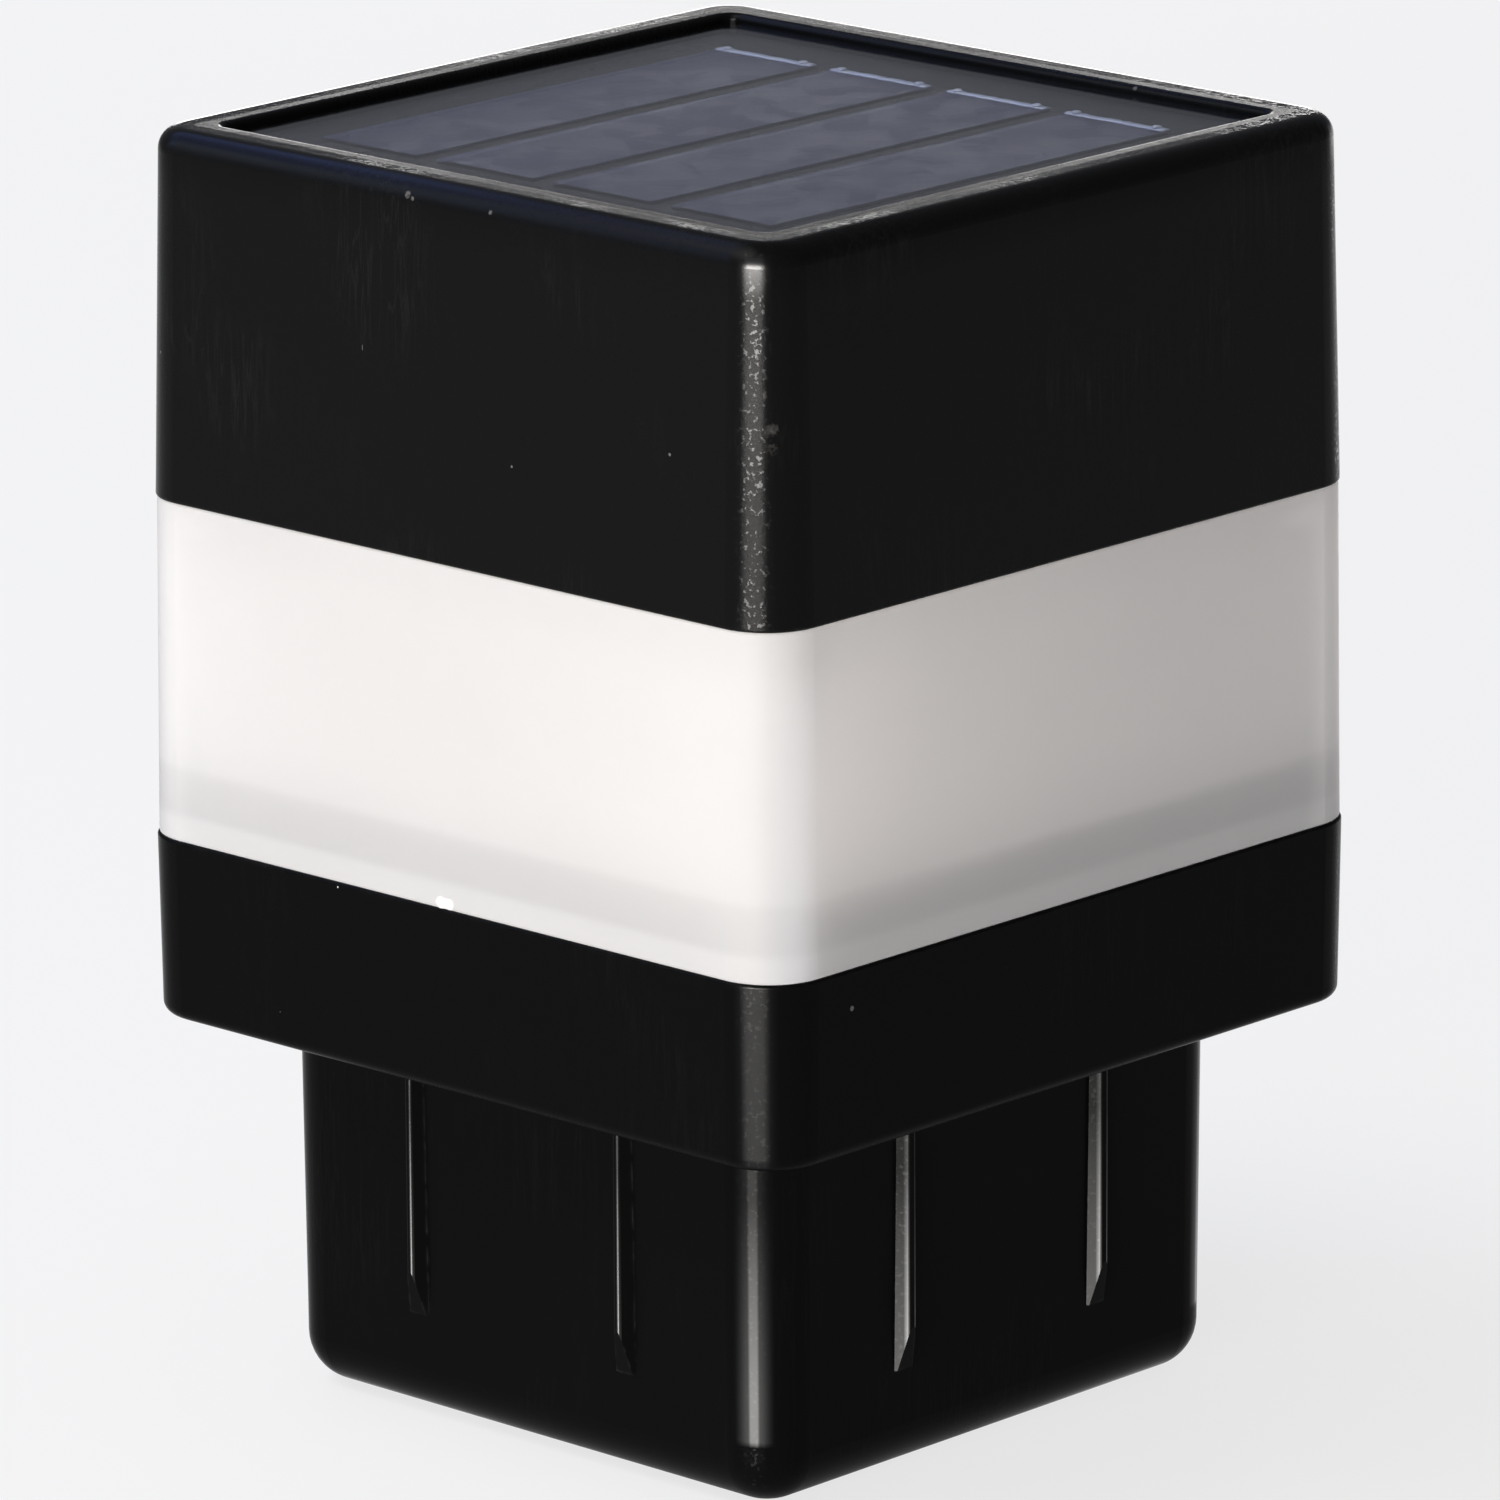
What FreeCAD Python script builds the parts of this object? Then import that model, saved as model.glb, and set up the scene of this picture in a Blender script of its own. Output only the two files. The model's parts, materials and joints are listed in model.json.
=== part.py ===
import FreeCAD, Part
import math
import os
from FreeCAD import Vector

# Solar cap light for a square 2 inch post.
# Millimetres. Origin at the middle of the plug's flat bottom, +Z up.
# The plug pushes into the post, the collar's ledge rests on the post's end.

# ---------------------------------------------------------------- outside
plug_height = 26.9
collar_height = 13.0
window_height = 23.9
cap_height = 25.8

body_half = 30.0            # half width at the cap's lower edge
corner_radius = 4.2         # upright corners, at the same place
cap_lean = 0.64             # the cap's sides come in by this much on the way up
rim_round = 1.6             # cap's top outer edge
rim_width = 3.9             # from the cap's top outer corner in to the panel pocket
pocket_edge_round = 0.45
pocket_corner_radius = 1.0
diffuser_inset = 0.1        # the diffuser's top edge lies inside the cap's edge
diffuser_lean = 0.27        # the diffuser widens by this much on the way down
collar_step = 0.13          # the collar's top edge stands proud of the diffuser
collar_lean = 0.2           # the collar narrows by this much on the way down
collar_bottom_round = 0.9
edge_break = 0.2            # small roundings along the moulded parting edges

plug_half = 23.33           # half width under the ledge
plug_lean = 0.23
plug_corner_radius = 4.1
plug_bottom_round = 3.6
round_limit = 0.95          # most of a corner's radius that a rounding may take

crush_rib_offset = 9.85     # from the middle of a plug face, one rib each side
crush_rib_height = 0.83
crush_rib_half_angle = 33.0  # each flank from the rib's middle plane, in degrees
crush_rib_crest_round = 0.42
crush_rib_crest_end = 10.8  # height where the crest starts to run out
crush_rib_tip = 7.6         # height where the rib meets the plug's face

# ---------------------------------------------------------------- walls
cap_wall = 2.05
deck_thickness = 1.6        # shelf under the solar panel
window_wall = 1.8
neck_wall = 1.6
neck_height = 6.0
shoulder_thickness = 1.8
upstand_wall = 1.6
upstand_height = 5.3
plug_wall = 1.8
floor_thickness = 3.0
ledge_thickness = 2.0
inner_corner = 0.8          # smallest upright corner inside a moulding

# ---------------------------------------------------------------- clearances
neck_gap = 0.2              # diffuser neck inside the cap
upstand_gap = 0.3           # base upstand inside the diffuser
panel_gap = 0.15            # solar panel inside its pocket
tray_gap = 0.25             # reflector tray inside the upstand
tray_drop = 0.2             # tray's top face under the upstand's top
slide_gap = 0.15            # switch slider in its case and slot
door_gap = 0.15             # battery door in its recess
cell_gap = 0.3              # battery in its compartment and on the door's saddles
wrap_gap = 0.03             # battery can in its printed sleeve
groove_gap = 0.1            # snap beads in their grooves
screw_gap = 0.03            # screw shank in its pilot hole
tip_gap = 0.1               # under a screw's tip
hole_gap = 0.25             # screws, lamps and leads through plain holes

# ---------------------------------------------------------------- snap beads and seals
neck_bead_height = 1.2
neck_bead_proud = 0.4
neck_bead_rise = 1.0        # above the shoulder
foot_bead_height = 1.2
foot_bead_proud = 0.6
foot_bead_rise = 0.6        # above the diffuser's lower edge
seal_height = 1.0
seal_groove_depth = 0.8
seal_gap = 0.05             # a seal and the wall that presses it
cap_seal_rise = 3.6         # above the shoulder
base_seal_rise = 3.3        # above the collar's top

# ---------------------------------------------------------------- solar panel
panel_recess = 0.6          # resin surface under the rim's crest
resin_cover = 0.5           # resin over the cells
solar_cell_thickness = 0.25
panel_board_thickness = 1.2
adhesive_thickness = 0.5
adhesive_margin = 1.2       # adhesive sheet inside the board's edge
strip_count = 4
strip_spacing = 1.9         # bare board between two cell strips
side_margin = 4.4           # board beside the outer strips
end_margin = 5.3            # board past the strips' ends
ribbon_width = 0.9
ribbon_thickness = 0.15

# ---------------------------------------------------------------- reflector tray and lamp board
tray_thickness = 1.5
tray_boss_radius = 2.75
tray_boss_inset = 3.5       # from the collar's inner wall to a boss's axis
boss_hole_depth = 9.0
board_length = 38.0
board_width = 30.0
board_thickness = 1.6
board_standoff = 2.5
board_screw_x = 15.0
board_boss_radius = 2.2
lamp_offset = 7.0           # each lamp's distance from the middle
lamp_radius = 2.5
lamp_flange_radius = 2.9
lamp_flange_height = 1.0
lamp_barrel_height = 6.1
reflector_mouth_radius = 5.2

chip_length = 5.0
chip_width = 4.0
chip_height = 1.6
chip_leg_count = 4
chip_x = 7.0
chip_y = 7.0
inductor_length = 7.0
inductor_radius = 1.6
inductor_drop = 2.4         # its axis under the board
inductor_wire_radius = 0.3
inductor_x = 6.0
inductor_y = -6.0
capacitor_radius = 2.5
capacitor_height = 7.0
capacitor_x = -6.5
capacitor_y = -6.5

# ---------------------------------------------------------------- battery and its door
battery_radius = 7.1        # over the sleeve
battery_length = 28.6       # with the button
sleeve_thickness = 0.2
button_radius = 2.75
button_height = 1.0
battery_y = 6.0             # battery axis, across the plug
battery_lift = 1.2          # battery over the door's inner face
spring_room = 4.4           # between the battery's flat end and the wall
contact_thickness = 0.4
contact_width = 7.0
tag_width = 3.0
tag_rise = 2.2              # solder tag over the compartment's roof
compartment_wall = 1.4

door_thickness = 1.3
door_setback = 0.1          # door's face above the plug's bottom
door_seal_thickness = 0.5
door_lap = 1.5              # door past the compartment's opening
door_corner_radius = 2.0
door_seal_margin = 0.25
saddle_offset = 8.0
saddle_thickness = 1.6
saddle_height = 3.2
hook_offset = 10.0
hook_width = 4.0
hook_length = 1.4
hook_thickness = 0.6
ear_radius = 3.2
ear_reach = 1.6             # ear's centre past the door's edge
door_boss_radius = 2.7
door_boss_height = 4.0

# ---------------------------------------------------------------- switch
switch_y = -12.5
switch_travel = 2.0
pocket_length = 12.0
pocket_width = 7.0
pocket_depth = 1.6
knob_length = 3.0
knob_width = 2.0
knob_setback = 0.5          # knob's tip above the plug's bottom
knob_groove = 0.25
case_length = 11.0
case_width = 5.4
case_height = 4.5
case_wall = 0.35
bracket_ear = 2.1           # from the case's end to a screw's axis
bracket_end = 1.9           # from a screw's axis to the bracket's end
bracket_width = 6.0
bracket_thickness = 0.5
carrier_thickness = 1.6
terminal_thickness = 1.4
pin_pitch = 3.0
pin_width = 0.8
pin_thickness = 0.4
pin_inside = 0.4            # pin below the terminal plate
pin_outside = 3.0           # pin above it

# ---------------------------------------------------------------- screws and leads
large_screw_radius = 1.3
large_head_radius = 2.4
large_head_height = 1.5
large_screw_length = 8.0
small_screw_radius = 0.95
small_head_radius = 1.9
small_head_height = 1.2
board_screw_length = 3.6
switch_screw_length = 2.5
door_screw_length = 5.6
cross_slot_width = 0.5
cross_slot_share = 0.6      # of the head's height and radius
head_round_share = 0.4      # of the head's height
point_share = 0.6           # length of a screw's point, of its radius
point_end_share = 0.3       # width of a point's end, of its radius

lead_radius = 0.6
arc_share = 0.45            # of the shorter run, taken by each bend
panel_pad_inset_x = 11.3    # red lead's pad, from the solar panel's left edge
panel_pad_inset_y = 13.8    # and from its far edge
board_pad_inset_x = 5.0     # the same lead's pad on the lamp board
board_pad_inset_y = 3.5
panel_lead_spacing = 4.0
panel_lead_sway = 1.8
black_lead_sway = 1.8
switch_lead_sway = 2.0
red_lead_start = 5.0        # straight stretch over the flat contact's tag
red_lead_crest = 7.0        # highest bend over that tag
red_lead_swing = 3.0        # that bend out past the middle of the way
red_lead_end = 4.0          # straight stretch over the switch's pin

# ---------------------------------------------------------------- levels
ledge_z = plug_height
collar_top_z = ledge_z + collar_height
window_top_z = collar_top_z + window_height
top_z = window_top_z + cap_height

resin_top_z = top_z - panel_recess
solar_cell_top_z = resin_top_z - resin_cover
panel_board_top_z = solar_cell_top_z - solar_cell_thickness
panel_board_low_z = panel_board_top_z - panel_board_thickness
deck_top_z = panel_board_low_z - adhesive_thickness
deck_low_z = deck_top_z - deck_thickness

upstand_top_z = collar_top_z + upstand_height
ledge_top_z = ledge_z + ledge_thickness
tray_top_z = upstand_top_z - tray_drop
tray_low_z = tray_top_z - tray_thickness
board_top_z = tray_low_z - board_standoff
board_low_z = board_top_z - board_thickness

door_inner_z = door_setback + door_thickness
seal_top_z = door_inner_z + door_seal_thickness
battery_z = door_inner_z + battery_lift + battery_radius
roof_low_z = battery_z + battery_radius + cell_gap
roof_top_z = roof_low_z + compartment_wall
tag_top_z = roof_top_z + tag_rise

bracket_top_z = floor_thickness + bracket_thickness
case_top_z = bracket_top_z + case_height
terminal_low_z = case_top_z - terminal_thickness
pin_top_z = case_top_z + pin_outside

# ---------------------------------------------------------------- half widths
cap_top_half = body_half - cap_lean
pocket_half = cap_top_half - rim_width
panel_half = pocket_half - panel_gap
diffuser_top_half = body_half - diffuser_inset
diffuser_low_half = diffuser_top_half + diffuser_lean
collar_top_half = diffuser_low_half + collar_step
collar_low_half = collar_top_half - collar_lean
cap_inner_half = body_half - cap_wall
neck_half = cap_inner_half - neck_gap
neck_inner_half = neck_half - neck_wall
window_inner_low_half = diffuser_low_half - window_wall
window_inner_top_half = diffuser_top_half - window_wall
upstand_half = window_inner_low_half - upstand_gap
collar_inner_half = upstand_half - upstand_wall
tray_half = collar_inner_half - tray_gap
tray_boss_xy = collar_inner_half - tray_boss_inset
plug_low_half = plug_half - plug_lean
plug_inner_half = plug_half - plug_wall
plug_inner_low_half = plug_low_half - plug_wall

corner_axis = body_half - corner_radius
window_axis = neck_inner_half - inner_corner
plug_axis = plug_half - plug_corner_radius

switch_screw_x = case_length / 2 + bracket_ear
bracket_half = switch_screw_x + bracket_end
panel_pad_x = panel_pad_inset_x - panel_half
panel_pad_y = panel_half - panel_pad_inset_y
board_pad_x = board_pad_inset_x - board_length / 2
board_pad_y = board_width / 2 - board_pad_inset_y

# ---------------------------------------------------------------- battery compartment, plan
battery_half_room = battery_radius + cell_gap
compartment_half = (battery_length + contact_thickness + spring_room) / 2
compartment_y0 = battery_y - battery_half_room
compartment_y1 = battery_y + battery_half_room
button_end_x = compartment_half - contact_thickness
flat_end_x = button_end_x - battery_length
door_half = compartment_half + door_lap
door_y0 = compartment_y0 - door_lap
door_y1 = compartment_y1 + door_lap
ear_y = door_y0 - ear_reach

MOULD_TINY = 1e-6
UP = Vector(0, 0, 1)
CENTRE = Vector(0, 0, 0)


# ---------------------------------------------------------------- helpers
def box(x0, x1, y0, y1, z0, z1):
    """Plain block between two corners."""
    return Part.makeBox(x1 - x0, y1 - y0, z1 - z0, Vector(x0, y0, z0))


def disc(x, y, z0, z1, radius):
    """Upright cylinder."""
    return Part.makeCylinder(radius, z1 - z0, Vector(x, y, z0))


def rod(x0, x1, y, z, radius):
    """Cylinder that lies along X."""
    return Part.makeCylinder(radius, x1 - x0, Vector(x0, y, z), Vector(1, 0, 0))


def rounded_box(x0, x1, y0, y1, z0, z1, radius):
    """Block with round upright corners."""
    block = box(x0, x1, y0, y1, z0, z1)
    upright = [edge for edge in block.Edges if abs(edge.tangentAt(edge.FirstParameter).z) > 0.9]
    return block.makeFillet(radius, upright)


def joined(shapes):
    """One solid from several that share faces."""
    return shapes[0].multiFuse(shapes[1:]).removeSplitter()


def outline(corners):
    """Closed wire in the XZ plane. Each corner is x, z and the radius that rounds it."""
    points = [Vector(x, 0, z) for x, z, radius in corners]
    turns = []
    for index, (x, z, radius) in enumerate(corners):
        here = points[index]
        if radius == 0:
            turns.append((here, None, here))
            continue
        before = (points[index - 1] - here).normalize()
        after = (points[(index + 1) % len(points)] - here).normalize()
        half_angle = before.getAngle(after) / 2
        bisector = (before + after).normalize()
        cut = radius / math.tan(half_angle)
        middle = here + bisector * (radius / math.sin(half_angle) - radius)
        turns.append((here + before * cut, middle, here + after * cut))
    edges = []
    for index, (start, middle, end) in enumerate(turns):
        if middle is not None:
            edges.append(Part.Arc(start, middle, end).toShape())
        following = turns[(index + 1) % len(turns)][0]
        if end.distanceToPoint(following) > MOULD_TINY:
            edges.append(Part.LineSegment(end, following).toShape())
    return Part.Wire(edges)


def square_ring(axis, corners):
    """Ring round the light with straight sides and round corners.

    axis is how far each corner's axis lies from the middle.
    corners is the section: half width, height and rounding.
    """
    section = Part.Face(outline([(half - axis, z, radius) for half, z, radius in corners]))
    side = section.extrude(Vector(0, 2 * axis, 0))
    side.translate(Vector(axis, -axis, 0))
    corner = section.revolve(CENTRE, UP, 90)
    corner.translate(Vector(axis, axis, 0))
    pieces = []
    for turn in range(4):
        for piece in (side, corner):
            turned = piece.copy()
            turned.rotate(CENTRE, UP, 90 * turn)
            pieces.append(turned)
    return joined(pieces)


def square_body(axis, corners):
    """Solid block whose sides follow a section, from its bottom corner to its top one."""
    low_z = corners[0][1]
    high_z = corners[-1][1]
    closed = [(axis, low_z, 0)] + corners + [(axis, high_z, 0)]
    core = box(-axis, axis, -axis, axis, low_z, high_z)
    return joined([core, square_ring(axis, closed)])


def cut_all(body, tools):
    """Body less every tool."""
    return body.cut(Part.makeCompound(tools))


def strip(points, thickness, width):
    """Bent sheet strip: a path in the XZ plane, its thickness, and its width across Y."""
    path = [Vector(x, 0, z) for x, z in points]
    left = []
    right = []
    for index, here in enumerate(path):
        runs = []
        if index > 0:
            runs.append((here - path[index - 1]).normalize())
        if index < len(path) - 1:
            runs.append((path[index + 1] - here).normalize())
        along = runs[0] if len(runs) == 1 else (runs[0] + runs[1]).normalize()
        normal = Vector(-along.z, 0, along.x)
        reach = thickness / 2 / abs(Vector(-runs[0].z, 0, runs[0].x).dot(normal))
        left.append(here + normal * reach)
        right.append(here - normal * reach)
    corners = left + right[::-1]
    face = Part.Face(Part.makePolygon(corners + [corners[0]]))
    face.translate(Vector(0, -width / 2, 0))
    return face.extrude(Vector(0, width, 0))


def lead(name, points, radius=lead_radius):
    """Insulated wire: straight runs joined by tangent arcs, as wide as the runs allow."""
    path = [Vector(*point) for point in points]
    edges = []
    start = path[0]
    radii = []
    for index in range(1, len(path) - 1):
        here = path[index]
        before = path[index - 1] - here
        after = path[index + 1] - here
        cut = arc_share * min(before.Length, after.Length)
        before.normalize()
        after.normalize()
        half_angle = before.getAngle(after) / 2
        bend = cut * math.tan(half_angle)
        bisector = (before + after).normalize()
        middle = here + bisector * (bend / math.sin(half_angle) - bend)
        edges.append(Part.LineSegment(start, here + before * cut).toShape())
        edges.append(Part.Arc(here + before * cut, middle, here + after * cut).toShape())
        start = here + after * cut
        radii.append(round(bend, 1))
    edges.append(Part.LineSegment(start, path[-1]).toShape())
    route = Part.Wire(edges)
    ring = Part.Wire(Part.makeCircle(radius, path[0], path[1] - path[0]))
    tube = route.makePipeShell([ring], True, False)
    if tube.Volume < 0:
        tube.reverse()
    share = tube.Volume / (math.pi * radius ** 2 * route.Length)
    print(f"{name}: length {route.Length:.1f}, bend radii {radii}, volume share {share:.4f}")
    return tube


def cross_slots(x, y, z0, z1, radius):
    """Cross recess of a screw head, to cut away."""
    reach = radius * cross_slot_share
    half = cross_slot_width / 2
    return [box(x - reach, x + reach, y - half, y + half, z0, z1),
            box(x - half, x + half, y - reach, y + reach, z0, z1)]


def pan_screw(x, y, seat_z, length, shank, head_radius, head_height, heading):
    """Screw with a flat round head. heading is +1 when the head is on top, else -1."""
    head = disc(x, y, 0, head_height, head_radius)
    rim = [edge for edge in head.Edges if edge.BoundBox.ZMin > head_height - MOULD_TINY]
    head = head.makeFillet(head_height * head_round_share, rim)
    slot_z = head_height * (1 - cross_slot_share)
    head = cut_all(head, cross_slots(x, y, slot_z, head_height + 1, head_radius))
    point = shank * point_share
    stem = disc(x, y, point - length, 0, shank)
    tip = Part.makeCone(shank * point_end_share, shank, point, Vector(x, y, -length))
    screw = joined([head, stem, tip])
    if heading < 0:
        screw = screw.mirror(CENTRE, UP)
    screw.translate(Vector(0, 0, seat_z))
    return screw


def four(shape):
    """The shape and its three copies, each a quarter turn on."""
    copies = []
    for turn in range(4):
        copy = shape.copy()
        copy.rotate(CENTRE, UP, 90 * turn)
        copies.append(copy)
    return copies


# ---------------------------------------------------------------- cap
def cap_groove_z():
    """Lower and upper level of the cap's groove for the neck's bead."""
    low = window_top_z + neck_bead_rise - groove_gap
    return low, low + neck_bead_height + 2 * groove_gap


def make_cap_shell():
    """Black square cap: four leaning walls, a shelf, and a pocket for the solar panel."""
    outside = square_body(corner_axis, [
        (body_half, window_top_z, edge_break),
        (cap_top_half, top_z, rim_round)])
    lean_share = (deck_low_z - window_top_z) / cap_height
    cavity_top_half = cap_inner_half - cap_lean * lean_share
    cavity_axis = cavity_top_half - max(corner_radius - cap_wall - cap_lean, inner_corner)
    below = window_top_z - 1
    cavity = square_body(cavity_axis, [
        (cap_inner_half, below, 0),
        (cap_inner_half, window_top_z, 0),
        (cavity_top_half, deck_low_z, inner_corner)])
    groove_low, groove_high = cap_groove_z()
    groove_half = cap_inner_half + neck_bead_proud
    groove = square_ring(cavity_axis, [
        (cap_inner_half - 1, groove_low, 0),
        (groove_half, groove_low, 0),
        (groove_half, groove_high, 0),
        (cap_inner_half - 1, groove_high, 0)])
    above = top_z + 1
    pocket = square_body(pocket_half - pocket_corner_radius, [
        (pocket_half, deck_top_z, 0),
        (pocket_half, top_z, pocket_edge_round),
        (pocket_half + rim_width / 2, top_z, 0),
        (pocket_half + rim_width / 2, above, 0)])
    holes = [disc(x, y, deck_low_z - 1, deck_top_z + 1, lead_radius + hole_gap)
             for x, y in lead_places(panel_pad_x, panel_pad_y)]
    return cut_all(outside, [cavity, groove, pocket] + holes)


def seal_ring(axis, inner, outer, low):
    """Square ring of a seal's height, also used to cut its groove."""
    return square_ring(axis, [
        (inner, low, 0), (outer, low, 0), (outer, low + seal_height, 0), (inner, low + seal_height, 0)])


def make_cap_seal():
    """Rubber ring in the neck's groove, against the cap's leaning wall."""
    low = window_top_z + cap_seal_rise
    wall_half = cap_inner_half - cap_lean * (cap_seal_rise + seal_height) / cap_height
    return seal_ring(corner_axis, neck_half - seal_groove_depth, wall_half - seal_gap, low)


# ---------------------------------------------------------------- solar panel
def strip_places():
    """Left and right edge of each cell strip."""
    field = 2 * (panel_half - side_margin)
    width = (field - (strip_count - 1) * strip_spacing) / strip_count
    lefts = [side_margin - panel_half + number * (width + strip_spacing) for number in range(strip_count)]
    return [(left, left + width) for left in lefts]


def lead_places(x, y):
    """Where the red and the black panel lead meet a board, from the red one's place."""
    return [(x, y), (x + panel_lead_spacing, y)]


def make_panel_adhesive():
    """Foam sheet that glues the board to the shelf."""
    half = panel_half - adhesive_margin
    sheet = rounded_box(-half, half, -half, half, deck_top_z, panel_board_low_z, pocket_corner_radius)
    holes = [disc(x, y, deck_top_z - 1, panel_board_low_z + 1, lead_radius + hole_gap)
             for x, y in lead_places(panel_pad_x, panel_pad_y)]
    return cut_all(sheet, holes)


def make_panel_board():
    """Square circuit board under the cells."""
    return rounded_box(-panel_half, panel_half, -panel_half, panel_half,
                       panel_board_low_z, panel_board_top_z, pocket_corner_radius)


def make_solar_cells():
    """Silicon strips side by side, along Y."""
    end = panel_half - end_margin
    return [box(left, right, -end, end, panel_board_top_z, solar_cell_top_z)
            for left, right in strip_places()]


def make_cell_ribbons():
    """Tinned ribbon across the +Y end of each strip."""
    end = panel_half - end_margin
    return [box(left, right, end - ribbon_width, end, solar_cell_top_z, solar_cell_top_z + ribbon_thickness)
            for left, right in strip_places()]


def make_panel_resin():
    """Clear resin poured over the board, cells and ribbons."""
    block = rounded_box(-panel_half, panel_half, -panel_half, panel_half,
                        panel_board_top_z, resin_top_z, pocket_corner_radius)
    return cut_all(block, make_solar_cells() + make_cell_ribbons())


# ---------------------------------------------------------------- diffuser
def make_diffuser_sleeve():
    """Frosted square sleeve with a neck for the cap and a bead inside its foot."""
    neck_top_z = window_top_z + neck_height
    bead_low = window_top_z + neck_bead_rise
    bead_high = bead_low + neck_bead_height
    bead_half = neck_half + neck_bead_proud
    outside = square_body(corner_axis, [
        (diffuser_low_half, collar_top_z, edge_break),
        (diffuser_top_half, window_top_z, edge_break),
        (neck_half, window_top_z, 0),
        (neck_half, bead_low, 0),
        (bead_half, bead_low, 0),
        (neck_half, bead_high, 0),
        (neck_half, neck_top_z, edge_break)])
    groove_low = window_top_z + cap_seal_rise
    seal_groove = seal_ring(corner_axis, neck_half - seal_groove_depth, neck_half + 1, groove_low)
    shoulder_z = window_top_z - shoulder_thickness
    foot_low = collar_top_z + foot_bead_rise
    foot_high = foot_low + foot_bead_height
    foot_half = window_inner_low_half - foot_bead_proud
    room = square_body(window_axis, [
        (window_inner_low_half, collar_top_z - 1, 0),
        (window_inner_low_half, foot_low, 0),
        (foot_half, foot_low, 0),
        (foot_half, (foot_low + foot_high) / 2, 0),
        (window_inner_low_half, foot_high, 0),
        (window_inner_top_half, shoulder_z, inner_corner),
        (neck_inner_half, shoulder_z, 0),
        (neck_inner_half, neck_top_z + 1, 0)])
    return cut_all(outside, [seal_groove, room])


def make_base_seal():
    """Rubber ring between the base's upstand and the diffuser."""
    low = collar_top_z + base_seal_rise
    wall_half = window_inner_low_half - diffuser_lean * (base_seal_rise + seal_height) / window_height
    return seal_ring(window_axis, upstand_half - seal_groove_depth, wall_half - seal_gap, low)


# ---------------------------------------------------------------- base
def crush_ribs():
    """Two pointed ribs on each plug face. They bite into the post's bore."""
    buried = plug_lean + crush_rib_height / 2
    crest = plug_half + crush_rib_height
    root = plug_half - buried
    half_angle = math.radians(crush_rib_half_angle)
    sharp_crest = crest + crush_rib_crest_round * (1 / math.sin(half_angle) - 1)
    spread = (sharp_crest - root) * math.tan(half_angle)
    section = outline([
        (root, -spread, 0),
        (sharp_crest, 0, crush_rib_crest_round),
        (root, spread, 0)])
    section.rotate(CENTRE, Vector(1, 0, 0), -90)
    ribs = []
    for side in (-1, 1):
        y = side * crush_rib_offset
        wedge = Part.Face(section).extrude(Vector(0, 0, ledge_z - crush_rib_tip))
        wedge.translate(Vector(0, y, crush_rib_tip))
        slope = outline([
            (root, crush_rib_tip, 0),
            (plug_half, crush_rib_tip, 0),
            (crest, crush_rib_crest_end, 0),
            (crest, ledge_z, 0),
            (root, ledge_z, 0)])
        keep = Part.Face(slope)
        keep.translate(Vector(0, y - spread, 0))
        ribs += four(wedge.common(keep.extrude(Vector(0, 2 * spread, 0))))
    return ribs


def door_plan(z0, z1, grow):
    """Plan of the battery door with its screw ear, grown by a clearance."""
    plate = rounded_box(-door_half - grow, door_half + grow, door_y0 - grow, door_y1 + grow,
                        z0, z1, door_corner_radius + grow)
    ear = disc(0, ear_y, z0, z1, ear_radius + grow)
    tongue = box(-ear_radius - grow, ear_radius + grow, ear_y, door_y0, z0, z1)
    return joined([plate, ear, tongue])


def hook_blocks(length, grow):
    """Two hooks along the door's far edge, grown by a clearance."""
    mid_z = (door_setback + door_inner_z) / 2
    half = hook_thickness / 2 + grow
    return [box(x - hook_width / 2 - grow, x + hook_width / 2 + grow,
                door_y1 - door_lap / 2, door_y1 + length, mid_z - half, mid_z + half)
            for x in (-hook_offset, hook_offset)]


def tag_slot(x0, x1):
    """Slot in the compartment's roof for a solder tag."""
    half = tag_width / 2 + slide_gap
    return box(x0, x1, battery_y - half, battery_y + half, roof_low_z - 1, roof_top_z + 1)


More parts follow.
